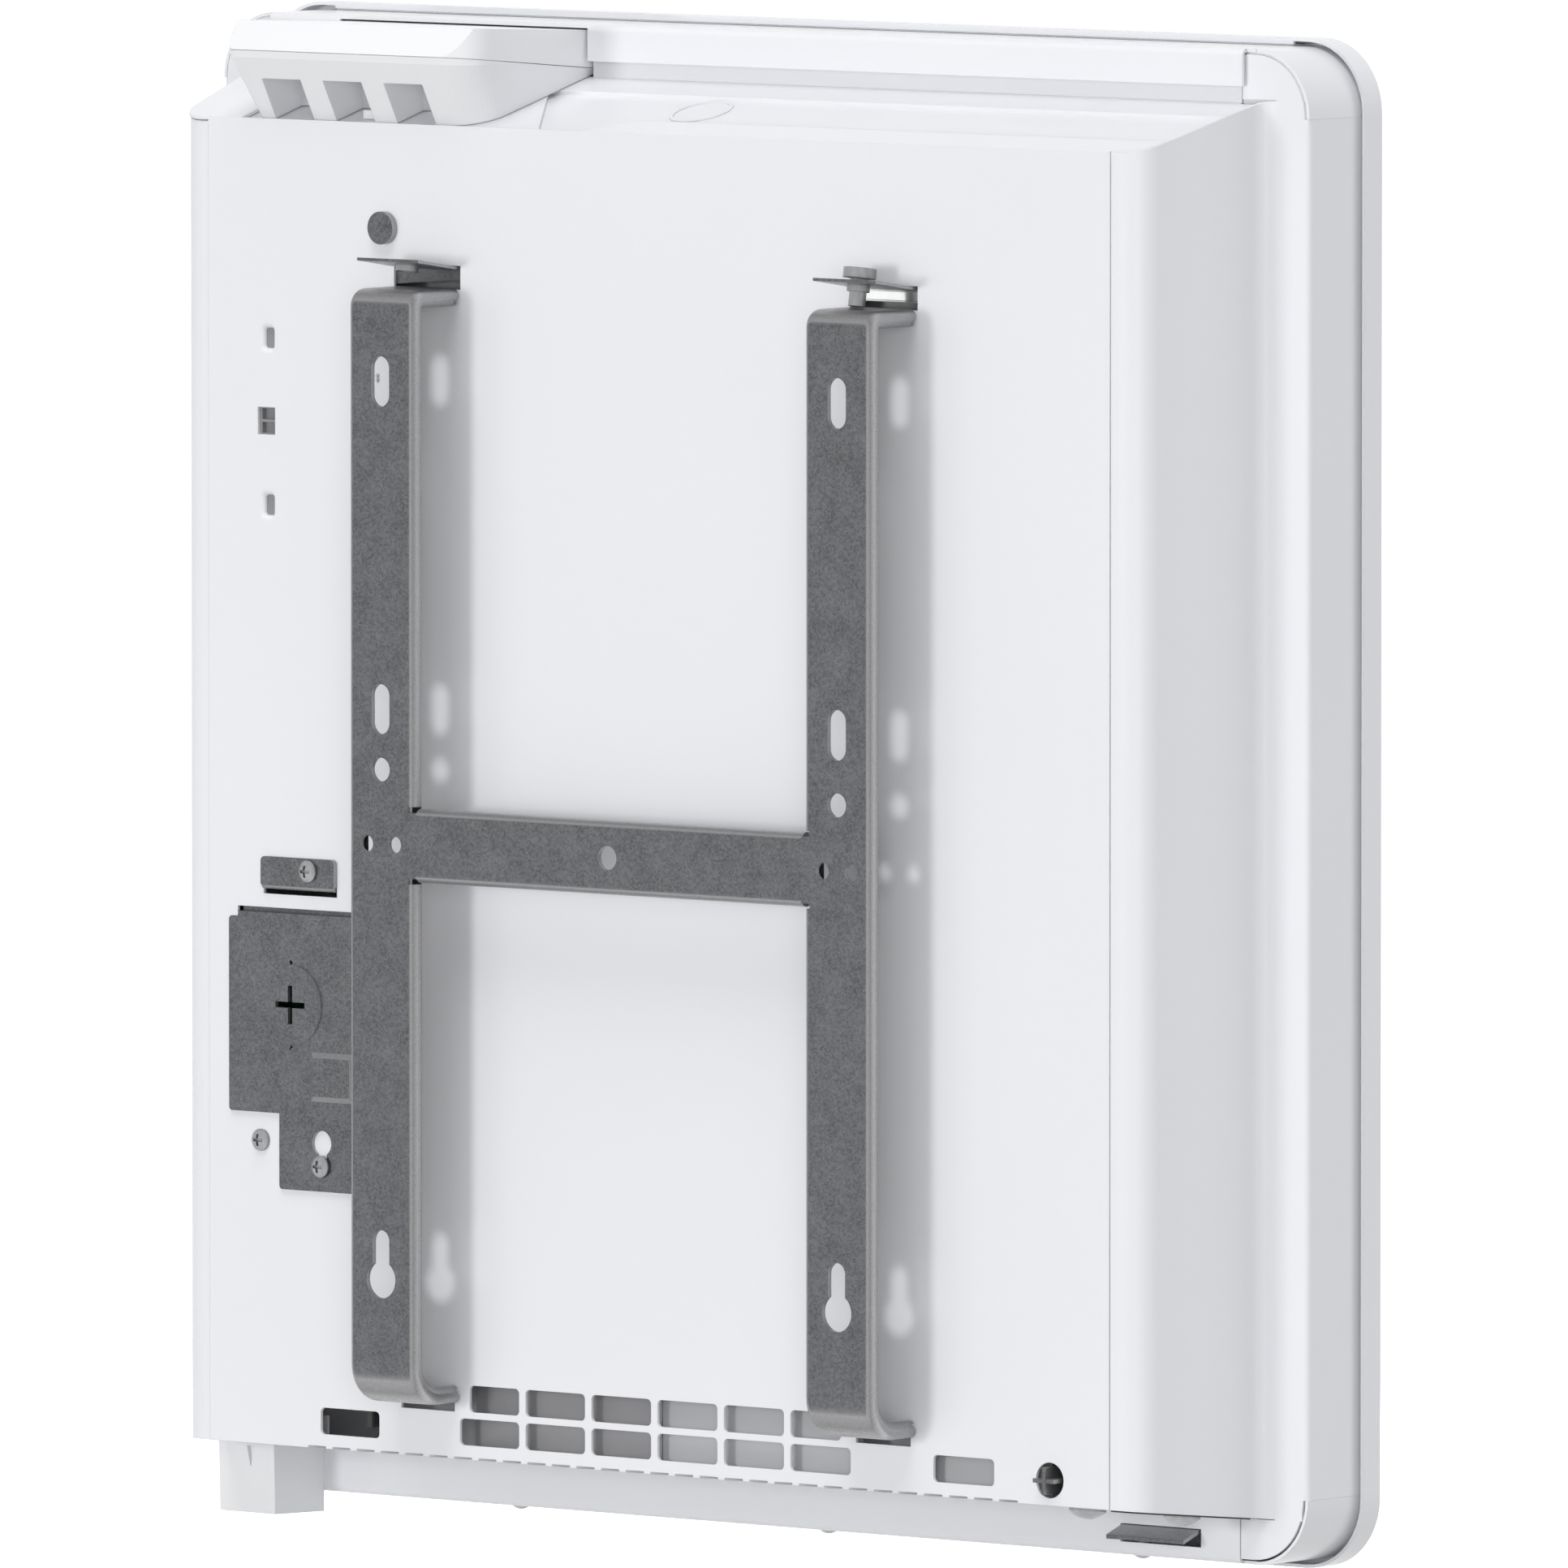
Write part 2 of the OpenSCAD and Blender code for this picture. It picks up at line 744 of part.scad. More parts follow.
module bottom_plate() {
  intersection() {
    union() {
      casing_core(sheet + gap);
      box(-rear_u + gap, rear_u - gap, rear_d, rear_in + over, rear_z0 - rear_d, rear_z0 + rear_d);
    }
    along_x(-big / 2, big / 2) polygon([
      [-rear_d - sheet / 2, bottom_z(rear_in)], [-flange_d, bottom_z(flange_d)],
      [-flange_d, bottom_z(flange_d) + sheet], [-rear_d - sheet / 2, bottom_z(rear_in) + sheet]]);
  }
}
module lap_corner() {
  // carries the top lap round to the left-hand side panel
  lap_d = rear_d + lap;
  intersection() {
    casing_core(sheet + gap);
    along_x(-big / 2, over - rear_u) polygon([[-rear_d, rear_z1], [-lap_d, top_z(lap_d)],
      [-lap_d, top_z(lap_d) - sheet], [-rear_d, rear_z1 - sheet]]);
  }
}
module lap_tip() {
  // top of the rear panel carried over the rounded corner of the right-hand side panel
  intersection() {
    union() {
      casing_core(-tip_out);
      box(0, corner_u, rear_d, fillet_td, 0, panel_z1);
    }
    difference() {
      above_top(sheet);
      above_top(0);
    }
    box(ctrl_x1 + clear, half_w, 0, fillet_td - gap, 0, panel_z1);
  }
}
module lap_flange() {
  // top lap of the rear panel with its mitred right-hand end
  lap_d = rear_d + lap;
  difference() {
    along_x(-rear_u + over, flange_left) polygon([
      [-rear_d, rear_z1 - 2 * sheet], [-rear_d, rear_z1], [-lap_d, top_z(lap_d)],
      [-lap_d, top_z(lap_d) - sheet], [-rear_in, top_z(rear_in) - sheet], [-rear_in, rear_z1 - 2 * sheet]]);
    translate([flange_left, -rear_d - 2 * sheet, rear_z1 - lap]) rotate([0, 0, lap_mitre])
      cube(3 * lap);
  }
}
module tab_pocket() {
  // pressed pocket that closes the window under the lock screw's tab
  difference() {
    hanger_window(-rail_x, sheet, rear_in - join, rear_in + pocket_back + sheet);
    hanger_window(-rail_x, 0, rear_d, rear_in + pocket_back);
    box(-big, big, 0, front_d, tab_low(rear_in + pocket_back + sheet) - gap, big);
    box(-big, big, rear_in, front_d, -big, rail_top + pocket_lift);
  }
}
module roll_plan(z) {
  x = port_x - roll_shift;
  rounded(x - roll_w / 2, x + roll_w / 2, z - roll_drop - roll_h / 2, z - roll_drop + roll_h / 2, roll_corner);
}
module roll_profile() {
  // quarter ring from the panel's face into the window
  ring_sector(roll_corner, roll_r, roll_r - sheet, roll_r, [[roll_corner, -roll_r],
    [roll_corner, over], [-over, over], [-over, -roll_r]]);
}
module rolled_rim(z) {
  x = port_x - roll_shift;
  run = [roll_w / 2 - roll_corner, roll_h / 2 - roll_corner];
  translate([x, -rear_d, z - roll_drop]) for (turn = [0:3]) rotate([0, 90 * turn, 0]) {
    reach = run[turn % 2];
    side = run[(turn + 1) % 2];
    translate([reach, 0, -side]) linear_extrude(2 * side) roll_profile();
    translate([reach, 0, side]) rotate([90, 0, 0]) mirror([0, 0, 1])
      rotate_extrude(angle = 90) roll_profile();
  }
}
module rear_panel() {
  color(white) {
    for (z = [port_z[0], port_z[2]]) rolled_rim(z);
    rear_sheet();
  }
}
module rear_sheet() {
  difference() {
    union() {
      box(-rear_u + 2 * gap, rear_u, rear_d, rear_in, rear_z0, rear_z1);
      bottom_plate();
      lap_flange();
      lap_corner();
      lap_tip();
      tab_pocket();
    }
    rear_cuts();
    intake_cuts();
    for (p = foot_screws) peg_z(p[0], p[1], bottom_front_z - over, rear_z0 + 2 * sheet, pan_shank + gap);
  }
}
module side_profile() {
  rect(rear_u, corner_u + join, -rear_in, -rear_d);
  ring_sector(corner_u, corner_d, corner_r - sheet, corner_r, [
    [corner_u, -corner_d], [corner_u, -rear_d + over], [tan_u + 2 * over, -rear_d + over],
    [corner_u + 2 * (tan_u - corner_u), -corner_d - 2 * (tan_d - corner_d)]]);
  polygon([[tan_u - flare * join, -tan_d + join], [fillet_tu + flare * join, -fillet_td - join],
    [fillet_tu + flare * join - sheet / flare_n, -fillet_td - join - sheet * flare / flare_n],
    [tan_u - flare * join - sheet / flare_n, -tan_d + join - sheet * flare / flare_n]]);
  ring_sector(fillet_u, fillet_d, fillet_r, fillet_r + sheet, [
    [fillet_u, -fillet_d], [fillet_u, -flange_in - over], [fillet_tu - fillet_r, -flange_in - over],
    [fillet_u + 2 * (fillet_tu - fillet_u), -fillet_d - 2 * (fillet_td - fillet_d)]]);
  rect(fillet_u - join, shell_u - bend_r, -flange_in, -flange_d);
}
module corner_plate(zc, s) {
  // quarter-round plate that closes the flange at a shell corner
  r = shell_r - sheet - plate_gap;
  intersection() {
    translate([shell_cu, zc]) circle(r);
    translate([shell_cu, s > 0 ? zc : zc - shell_r]) square([shell_r, shell_r]);
  }
  rect(seam_u + 2 * gap, shell_cu, s > 0 ? zc : zc - r, s > 0 ? zc + r : zc);
}
module side_panel(drop) {
  zc0 = shell_z0 + shell_r;
  zc1 = shell_z1 - shell_r;
  difference() {
    translate([0, 0, bottom_front_z - over]) linear_extrude(top_front_z - bottom_front_z + 2 * over)
      side_profile();
    above_top(0);
    intersection() {
      above_top(drop);
      box(0, half_w, 0, fillet_td, 0, panel_z1);
    }
    below_bottom();
  }
  along_d(flange_d, flange_in) {
    rect(fillet_u, shell_u - bend_r + join, zc0, zc1);
    difference() {
      union() {
        corner_plate(zc1, 1);
        corner_plate(zc0, -1);
      }
      rect(0, fillet_u, bottom_front_z - gap, top_front_z + gap);
    }
  }
  translate([0, 0, zc0]) linear_extrude(zc1 - zc0) {
    ring_sector(shell_u - bend_r, flange_d + bend_r, bend_r - sheet, bend_r, [
      [shell_u - bend_r, -flange_d - bend_r], [shell_u - bend_r, -flange_d + over],
      [shell_u + over, -flange_d + over], [shell_u + over, -flange_d - bend_r]]);
    rect(shell_u - sheet, shell_u, -plate_in, -flange_d - bend_r + join);
  }
}
module side_panel_left() {
  color(white) mirror([1, 0, 0]) side_panel(0);
}
module side_panel_right() {
  color(white) side_panel(sheet + tip_gap);
}
module pan_prism(inset, front) {
  // the pressed recess seen from above, with its oblique right-hand end
  translate([0, 0, rear_z1 - casing_depth]) linear_extrude(2 * casing_depth)
    polygon([[pan_x0 + inset, -rear_in - gap], [pan_x1 - pan_cut - inset, -rear_in - gap],
      [pan_x1 - inset, -front], [pan_x0 + inset, -front]]);
}
module top_sheet(drop) {
  difference() {
    above_top(drop + 2 * sheet + gap);
    above_top(drop + sheet + gap);
  }
}
module pan_ring() {
  // pressed ring that stands a little proud of the recess floor
  difference() {
    translate([ring_x, -ring_d, top_z(ring_d) - top_drop - 2 * sheet]) rotate([-atan(top_slope), 0, 0])
      difference() {
        cylinder(h = (sheet - gap + ring_h) * cos(atan(top_slope)), d = ring_dia);
        translate([0, 0, -over]) cylinder(h = 2 * over + 2 * sheet, d = ring_dia - 2 * ring_wall);
      }
    above_top(-2 * sheet);
  }
}
module top_plate() {
  color(white) {
    intersection() {
      casing_core(sheet + gap);
      difference() {
        top_sheet(0);
        pan_prism(0, pan_front);
      }
    }
    difference() {
      intersection() {
        casing_core(sheet + gap);
        pan_prism(-eps, pan_front + eps);
        above_top(2 * sheet + gap + top_drop);
      }
      intersection() {
        translate([0, gap, 0]) union() {
          pan_prism(sheet, pan_front - sheet + gap);
          box(-big, 0, 0, pan_front - sheet + gap, 0, big);
        }
        above_top(sheet + gap + top_drop);
      }
      above_top(sheet + gap);
    }
    intersection() {
      pan_ring();
      above_top(sheet + gap + top_drop + eps);
    }
    difference() {
      box(-seam_u + 3 * gap, seam_u - 3 * gap, flange_in, flange_in + sheet,
        top_front_z - upstand_top, shell_z1 - upstand_top);
      box(ctrl_x0 - over, ctrl_x1 + over, flange_d, flange_in + 2 * sheet,
        top_front_z - sheet - gap, shell_z1);
    }
    intersection() {
      box(-seam_u + 3 * gap, seam_u - 3 * gap, flange_d - sheet / 2, flange_in + sheet / 2, rear_z1, shell_z1);
      top_sheet(0);
    }
  }
}
module corner_ring(sx, sz) {
  z = sz > 0 ? shell_z1 - shell_r : shell_z0 + shell_r;
  intersection() {
    translate([sx * shell_cu, z]) difference() {
      circle(shell_r);
      circle(shell_r - sheet);
    }
    translate([sx > 0 ? shell_cu : -shell_cu - shell_r, sz > 0 ? z : z - shell_r])
      square([shell_r, shell_r]);
  }
}
module edge_bend(z, s, rear) {
  // bend from the shell's band into its flange, s = 1 at the top and -1 at the bottom
  d = rear + bend_r;
  ring_sector(-d, -z + s * bend_r, bend_r - sheet, bend_r, [
    [-d, z - s * bend_r], [-d, z + s * over], [-rear + over, z + s * over],
    [-rear + over, z - s * bend_r]]);
}
module shell_ring() {
  difference() {
    union() {
      along_d(flange_d + 2 * gap, plate_in)
        for (sx = [-1, 1], sz = [-1, 1]) corner_ring(sx, sz);
      box(-shell_cu - join, shell_cu + join, band_d + bend_r - join, plate_in, shell_z1 - sheet, shell_z1);
      box(-shell_cu - join, shell_cu + join, flange_d + bend_r - join, plate_in, shell_z0, shell_z0 + sheet);
      along_x(-band_u, shell_cu) edge_bend(shell_z1, 1, band_d);
      along_x(-seam_u, seam_u) edge_bend(shell_z0, -1, flange_d);
      box(-band_u, shell_cu, band_d, band_d + sheet, band_z0, shell_z1 - bend_r + join);
      box(-seam_u, seam_u, flange_d, flange_in, shell_z0 + bend_r - join, bottom_front_z + foot_flange_h);
    }
    box(ctrl_x0 - over, ctrl_x1 + over, band_d - over, flange_in + bend_r, band_z0 - over,
      ctrl_top + ctrl_top_gap - gap);
    for (x = dome_x) peg_z(x, dome_d, shell_z0 - over, shell_z0 + sheet + over, pan_shank + gap);
    box(latch_x0, latch_x1, flange_d - over, flange_in + over, latch_z0, latch_z1);
    box(block_x0 + 3 * sheet, seam_u + over, flange_d - over, flange_in + over,
      shell_z0 + 2 * bend_r, block_z1 - 3 * sheet);
  }
}
module shell_top() {
  color(white) intersection() {
    shell_ring();
    box(-half_w, half_w, 0, front_d, 0, panel_z1);
  }
}
module shell_bottom() {
  color(white) intersection() {
    shell_ring();
    box(-half_w, half_w, 0, front_d, panel_z0, 0);
  }
}
module front_panel() {
  color(white) {
    along_d(plate_in, front_d) difference() {
      rounded(-half_w, half_w, panel_z0, panel_z1, panel_r);
      rounded(outlet_x0, outlet_x1, outlet_z0, outlet_z1, outlet_r);
      rounded(disp_x0, disp_x1, disp_z0, disp_z1, disp_r);
      for (x = key_x) rounded(x - key_w / 2 - clear, x + key_w / 2 + clear,
        key_mid - key_h / 2 - clear, key_mid + key_h / 2 + clear, key_r + clear);
    }
    along_d(tray_d, plate_in) difference() {
      rounded(-half_w, half_w, panel_z0, panel_z1, panel_r);
      rounded(-half_w + sheet, half_w - sheet, panel_z0 + sheet, panel_z1 - sheet, panel_r - sheet);
    }
    box(-lip_run, lip_run, tray_d, tray_d + sheet, shell_z1 + lip_gap, panel_z1 - eps);
  }
}
module outlet_grille() {
  // frame with slanted blades that turns the warm air forward
  x0 = outlet_x0 + grille_frame;
  x1 = outlet_x1 - grille_frame;
  z0 = outlet_z0 + grille_frame;
  z1 = outlet_z1 - grille_frame;
  color(white) {
    along_d(plate_in - grille_depth, plate_in) difference() {
      rounded(outlet_x0 - grille_lap, outlet_x1 + grille_lap, outlet_z0 - grille_lap,
        outlet_z1 + grille_lap, outlet_r + sheet);
      rounded(x0, x1, z0, z1, outlet_r / 2);
    }
    for (i = [1:grille_blades - 1])
      translate([x0 - eps, -plate_in + blade_d, z0 + i * (z1 - z0) / grille_blades])
        rotate([blade_tilt, 0, 0]) translate([0, -blade_w / 2, -blade_t / 2])
        cube([x1 - x0 + 2 * eps, blade_w, blade_t]);
    for (i = [1:grille_posts]) {
      x = x0 + i * (x1 - x0) / (grille_posts + 1);
      box(x - post_w / 2, x + post_w / 2, plate_in - grille_depth, plate_in - post_short, z0 - eps, z1 + eps);
    }
  }
}

// Control unit
module control_plan(x0, x1, d0, d1, r) {
  // large rear radius on the left-hand side, small one on the right
  difference() {
    rect(x0, x1, -d1, -d0);
    difference() {
      translate([x0 - over, -d0 - r]) square([r + over, r + over]);
      translate([x0 + r, -d0 - r]) circle(r);
    }
    difference() {
      translate([x1 - small_r, -d0 - small_r]) square([small_r + over, small_r + over]);
      translate([x1 - small_r, -d0 - small_r]) circle(small_r);
    }
  }
}
module plan_slice(z, inset, rear) {
  translate([0, 0, z]) linear_extrude(eps)
    control_plan(ctrl_x0 + inset, ctrl_x1 - inset, rear, ctrl_front, ctrl_r);
}
module base_body() {
  // tapers from the bevelled band under the seam down to its foot on the top plate
  band = ctrl_seam + seam_lift - bevel_h;
  hull() {
    plan_slice(base_z, foot_taper, ctrl_foot);
    plan_slice(band - eps, 0, ctrl_rear + sheet / 2);
  }
  hull() {
    plan_slice(band - eps, 0, ctrl_rear + sheet / 2);
    plan_slice(ctrl_seam + seam_lift, 0, ctrl_rear);
  }
}
module pocket(i, w, d0, d1, z0, z1) {
  x = ctrl_x0 + pocket_edge + i * pocket_pitch;
  box(x - w / 2, x + w / 2, d0, d1, z0, z1);
}
module control_base() {
  mid_x = ctrl_x0 + pocket_edge + pocket_pitch;
  color(white) {
    difference() {
      intersection() {
        base_body();
        along_x(ctrl_x0 - over, ctrl_x1 + over) polygon([
          [0, base_z], [-ctrl_front, base_z], [-ctrl_front, ctrl_seam], [-flange_d, ctrl_seam],
          [-ctrl_rear, ctrl_seam + seam_lift], [0, ctrl_seam + seam_lift]]);
        above_top(sheet);
      }
      box(ctrl_x0 + foot_taper + wall_p, ctrl_x1 - foot_taper - wall_p, board_rear, ctrl_front + over,
        ctrl_seam, ctrl_seam + seam_lift);
      box(ctrl_x0 + ctrl_r, ctrl_x1 - ctrl_r, board_rear, ctrl_front - wall_p, base_z - over, ctrl_seam + over);
      for (i = [0:2]) pocket(i, pocket_w, 0, ctrl_rear + pocket_depth, base_z - over,
        ctrl_seam + seam_lift - pocket_drop);
    }
    intersection() {
      box(mid_x - pocket_w / 2 - eps, mid_x - pocket_w / 2 + pocket_tab_w, ctrl_foot + 2 * sheet,
        ctrl_rear + pocket_depth + eps, base_z, top_z(ctrl_foot) + pocket_tab_h);
      above_top(sheet);
    }
  }
}
module control_cap() {
  color(white) difference() {
    intersection() {
      translate([0, 0, ctrl_seam]) linear_extrude(cap_h + top_lift)
        control_plan(ctrl_x0, ctrl_x1, ctrl_rear, ctrl_front, ctrl_r);
      along_x(ctrl_x0 - over, ctrl_x1 + over) polygon([
        [-ctrl_rear, ctrl_seam + seam_lift + seam_gap], [-ctrl_rear - cap_lean, ctrl_top + top_lift],
        [-fillet_d, ctrl_top], [-ctrl_front, ctrl_top], [-ctrl_front, ctrl_seam + seam_gap],
        [-flange_d, ctrl_seam + seam_gap]]);
    }
    box(ctrl_x0 + wall_p, ctrl_x1 - wall_p, board_rear, ctrl_front - wall_p,
      ctrl_seam - over, ctrl_top - wall_p);
    box(disp_x0 - over, disp_x1 + over, ctrl_front - wall_p - over, ctrl_front + over,
      disp_z0 - over, ctrl_top - wall_p);
    for (x = key_x) box(x - key_slot_w / 2, x + key_slot_w / 2, ctrl_front - wall_p - over, ctrl_front + over,
      key_mid - key_slot_h / 2, ctrl_top - wall_p);
  }
}
module control_board() {
  color(board_green) box(ctrl_x0 + board_side, ctrl_x1 - board_side, board_rear + wall_p,
    ctrl_front - wall_p - over, ctrl_seam, ctrl_seam + board_t);
}
module display_window() {
  color(black) {
    along_d(plate_in - eps, front_d - disp_sink)
      rounded(disp_x0 + gap, disp_x1 - gap, disp_z0 + gap, disp_z1 - gap, disp_r - gap);
    along_d(plate_in - sheet, plate_in)
      rect(disp_x0 - disp_flange, disp_x1 + disp_flange, disp_z0 - sheet, disp_z1 + sheet);
  }
}
module display_module() {
  color(black) box(disp_x0 + lip_gap, disp_x1 - lip_gap, ctrl_front - wall_p - module_d, plate_in - sheet,
    ctrl_seam + board_t, disp_z1 - lip_gap);
}
module key_body(x) {
  along_d(ctrl_front + over, front_d + key_proud)
    rounded(x - key_w / 2, x + key_w / 2, key_mid - key_h / 2, key_mid + key_h / 2, key_r);
  box(x - key_stem_w / 2, x + key_stem_w / 2, ctrl_front - 2 * wall_p, ctrl_front + over + eps,
    key_mid - key_stem_h / 2, key_mid + key_stem_h / 2);
}
module key_minus() {
  color(ivory) key_body(key_x[0]);
}
module key_menu() {
  color(ivory) key_body(key_x[1]);
}
module key_plus() {
  color(ivory) key_body(key_x[2]);
}

// Mains switch under the casing
module switch_block() {
  notch_z = block_rear_z - notch_top;
  color(white) difference() {
    along_x(block_x0, block_x1) polygon([[-block_d0, block_rear_z], [-flange_d, block_z1],
      [-flange_d, block_z0 - block_cant], [-block_d0 - block_cant, block_z0]]);
    box(block_x1 - rocker_deep, block_x1 + over, rocker_d - rocker_cell, rocker_d + rocker_cell,
      rocker_z - rocker_room, rocker_z + rocker_room);
    along_d(block_d0 - over, block_d0 + notch_deep)
      polygon([[notch_x + notch_w, notch_z], [notch_x, notch_z], [notch_x + notch_tip, notch_z - notch_h]]);
  }
}
module mains_rocker() {
  // tips about the pin, with its upper edge proud
  color(black) difference() {
    along_d(rocker_d - rocker_half, rocker_d + rocker_half) polygon([
      [block_x1 - rocker_back, rocker_z - rocker_h], [block_x1 - rocker_back, rocker_z + rocker_h],
      [block_x1 + rocker_proud, rocker_z + rocker_h], [block_x1 + gap, rocker_z],
      [block_x1 - rocker_dip, rocker_z - rocker_h]]);
    peg_d(block_x1 - rocker_pivot, rocker_z, rocker_d - rocker_cell, rocker_d + rocker_cell,
      pin_d + 2 * thread_clear);
  }
}
module rocker_pin() {
  color(bright_zinc) peg_d(block_x1 - rocker_pivot, rocker_z, rocker_d - rocker_cell,
    rocker_d + rocker_cell, pin_d);
}

// Hanging and fastening pieces
module tab_frame(x) {
  // puts the children square to the tab's lower face, where the screw crosses it
  translate([x, -screw_d, tab_low(screw_d)]) rotate([tab_tilt, 0, 0]) children();
}
module tab_hole(x) {
  tab_frame(x) translate([0, 0, -over]) cylinder(h = tab_t + 2 * over, d = screw_bore + hole_ease);
}
module hanger(x, z0, tip_up) {
  root = rear_in + tab_t;
  tip = rear_d - tab_len;
  along_d(rear_in, root) polygon([[x - tab_w / 2 - hang_side, z0 + tip_up], [x + tab_w / 2 + hang_side, z0],
    [x + tab_w / 2 + hang_side, tab_root_z + tab_up], [x - tab_w / 2 - hang_side, tab_root_z + tab_up]]);
  along_x(x - tab_w / 2, x + tab_w / 2) polygon([[-root, tab_low(root)], [-root, tab_low(root) + tab_t],
    [-tip, tab_low(tip) + tab_t], [-tip, tab_low(tip)]]);
}
module hanger_right() {
  color(zinc) difference() {
    union() {
      hanger(rail_x, rail_top + hang_low, hang_tip);
      box(disc_x - ear_w / 2, disc_x + ear_w / 2, rear_in, rear_in + tab_t,
        disc_z - ear_w / 2, disc_z + ear_w / 2);
    }
    tab_hole(rail_x);
    peg_d(disc_x, disc_z, rear_d, rear_in + 2 * tab_t, pan_shank + gap);
  }
}
module hanger_left() {
  color(zinc) difference() {
    hanger(-rail_x, tab_root_z, 0);
    tab_hole(screw_x);
  }
}
module clinch_nuts() {
  // threaded collars under both tabs
  color(bright_zinc) for (x = [rail_x, screw_x]) tab_frame(x) difference() {
    translate([0, 0, -nut_h]) cylinder(h = nut_h, d = nut_d);
    translate([0, 0, -nut_h - over]) cylinder(h = nut_h + 2 * over, d = screw_bore + 2 * thread_clear);
  }
}
module locking_screw() {
  drop = (tab_low(screw_d) - rail_top - clear) / cos(tab_tilt) - screw_bore / 2 * tan(tab_tilt);
  head = tab_t * cos(tab_tilt) + screw_head_gap;
  color(bright_zinc) tab_frame(screw_x) difference() {
    union() {
      translate([0, 0, -drop]) cylinder(h = drop + head + eps, d = screw_bore);
      translate([0, 0, head]) cylinder(h = screw_head_h, d = screw_head_d);
    }
    translate([0, 0, head + screw_head_h - recess_h]) for (turn = [30, 120]) rotate(turn)
      translate([-recess_l / 2, -recess_w / 2, 0]) cube([recess_l, recess_w, recess_h + over]);
  }
}
module spacer_disc() {
  color(zinc) {
    peg_d(disc_x, disc_z, rear_d - disc_t, rear_d, disc_d);
    peg_d(disc_x, disc_z, rear_d - eps, rear_in + tab_t + over, pan_shank);
  }
}
module clamp_plate() {
  // clip over the mains lead: foot through a slot, plate flat on the rear panel
  color(zinc) difference() {
    union() {
      along_d(rear_d - clamp_t, rear_d) intersection() {
        rounded(clamp_x0, clamp_x1, clamp_z0 - clamp_r, clamp_z1, clamp_r);
        rect(clamp_x0, clamp_x1, clamp_z0, clamp_z1);
      }
      along_x(clamp_x0 + clear, clamp_x1 - clear) intersection() {
        union() {
          translate([-rear_d, clamp_z0]) circle(clamp_t);
          rect(-rear_in - clamp_foot, -rear_d, clamp_z0 - clamp_t, clamp_z0);
        }
        rect(-rear_in - clamp_foot, -rear_d + clamp_t, clamp_z0 - clamp_t, clamp_z0 + eps);
      }
    }
    peg_d(clamp_screw[0], clamp_screw[1], 0, rear_in, pan_shank + gap);
  }
}
module rear_screw_set() {
  color(bright_zinc) {
    pan_screw(clamp_screw, rear_d - clamp_t);
    pan_screw(side_screw, rear_d);
  }
}
module cover_screw() {
  color(bright_zinc) pan_screw(slide_screw, cover_d - slide_lift);
}
module cover_openings() {
  // nib holes of the half-sheared knockout, and the keyhole that slides under its screw
  for (s = [-1, 1]) translate([knock_x, knock_z + s * (knock_d + knock_nib) / 2]) circle(d = knock_nib);
  translate(slide_screw + [0, cover_slide]) circle(d = pan_d + over);
  rect(slide_screw[0] - pan_shank / 2 - clear, slide_screw[0] + pan_shank / 2 + clear,
    slide_screw[1], slide_screw[1] + cover_slide);
  translate(slide_screw) circle(d = pan_shank + 2 * clear);
}
module cover_boss() {
  // raised boss with four sloping sides
  top = cover_d - boss_h;
  intersection() {
    along_x(dimple_x0, dimple_x1) polygon([[-cover_d - eps, dimple_z0], [-cover_d - eps, dimple_z1],
      [-cover_d, dimple_z1], [-top, dimple_z1 - boss_slope], [-top, dimple_z0 + boss_slope],
      [-cover_d, dimple_z0]]);
    translate([0, 0, dimple_z0]) linear_extrude(dimple_z1 - dimple_z0) polygon([[dimple_x0, -cover_d - eps],
      [dimple_x0, -cover_d], [dimple_x0 + boss_slope, -top], [dimple_x1 - boss_slope, -top],
      [dimple_x1, -cover_d], [dimple_x1, -cover_d - eps]]);
  }
}
module cover_outline() {
  rounded(cover_x0, cover_x1, cover_step_z, cover_z1, cover_r);
  rounded(cover_x0, cover_step_x, cover_z0, cover_z1, cover_r);
}
module cover_tongue() {
  // hooks through the rear panel's slot and up behind it
  back = rear_in + tongue_back;
  box(tongue_x0, tongue_x1, cover_d, rear_d, cover_z1 - eps, cover_z1 + tongue_low + tongue_t);
  box(tongue_x0, tongue_x1, cover_d, back + cover_t, cover_z1 + tongue_low, cover_z1 + tongue_low + tongue_t);
  box(tongue_x0, tongue_x1, back, back + cover_t, cover_z1 + tongue_low, cover_z1 + tongue_up);
}
module cable_cover() {
  color(zinc) difference() {
    union() {
      along_d(cover_d, rear_d) cover_outline();
      peg_d(knock_x, knock_z, cover_d - knock_rise, cover_d + eps, knock_d);
      cover_tongue();
      cover_boss();
    }
    along_d(cover_d - over, rear_d + over) cover_openings();
    cross_cut(knock_x, knock_z, cover_d - over, rear_d + over, knock_cross_l, knock_cross_w);
  }
}
module foot_screw_set() {
  // heads lie flat on the sloping bottom plate
  color(bright_zinc) for (p = foot_screws) translate([p[0], -p[1], bottom_z(p[1]) - join])
    rotate([atan(bottom_slope), 0, 0]) {
    difference() {
      union() {
        peg_z(0, 0, -foot_rim, 0, foot_head_d);
        translate([0, 0, -foot_rim]) rotate([180, 0, 0]) dome(foot_head_d, foot_head_h - foot_rim);
      }
      translate([0, 0, -foot_head_h]) cube(foot_slot, center = true);
    }
    peg_z(0, 0, -eps, foot_shank_l, pan_shank);
  }
}
module shell_screw_set() {
  color(white) for (x = dome_x) {
    translate([x, -dome_d, shell_z0]) rotate([180, 0, 0]) dome(dome_head_d, dome_head_h);
    peg_z(x, dome_d, shell_z0 - eps, shell_z0 + dome_shank_l, pan_shank);
  }
}
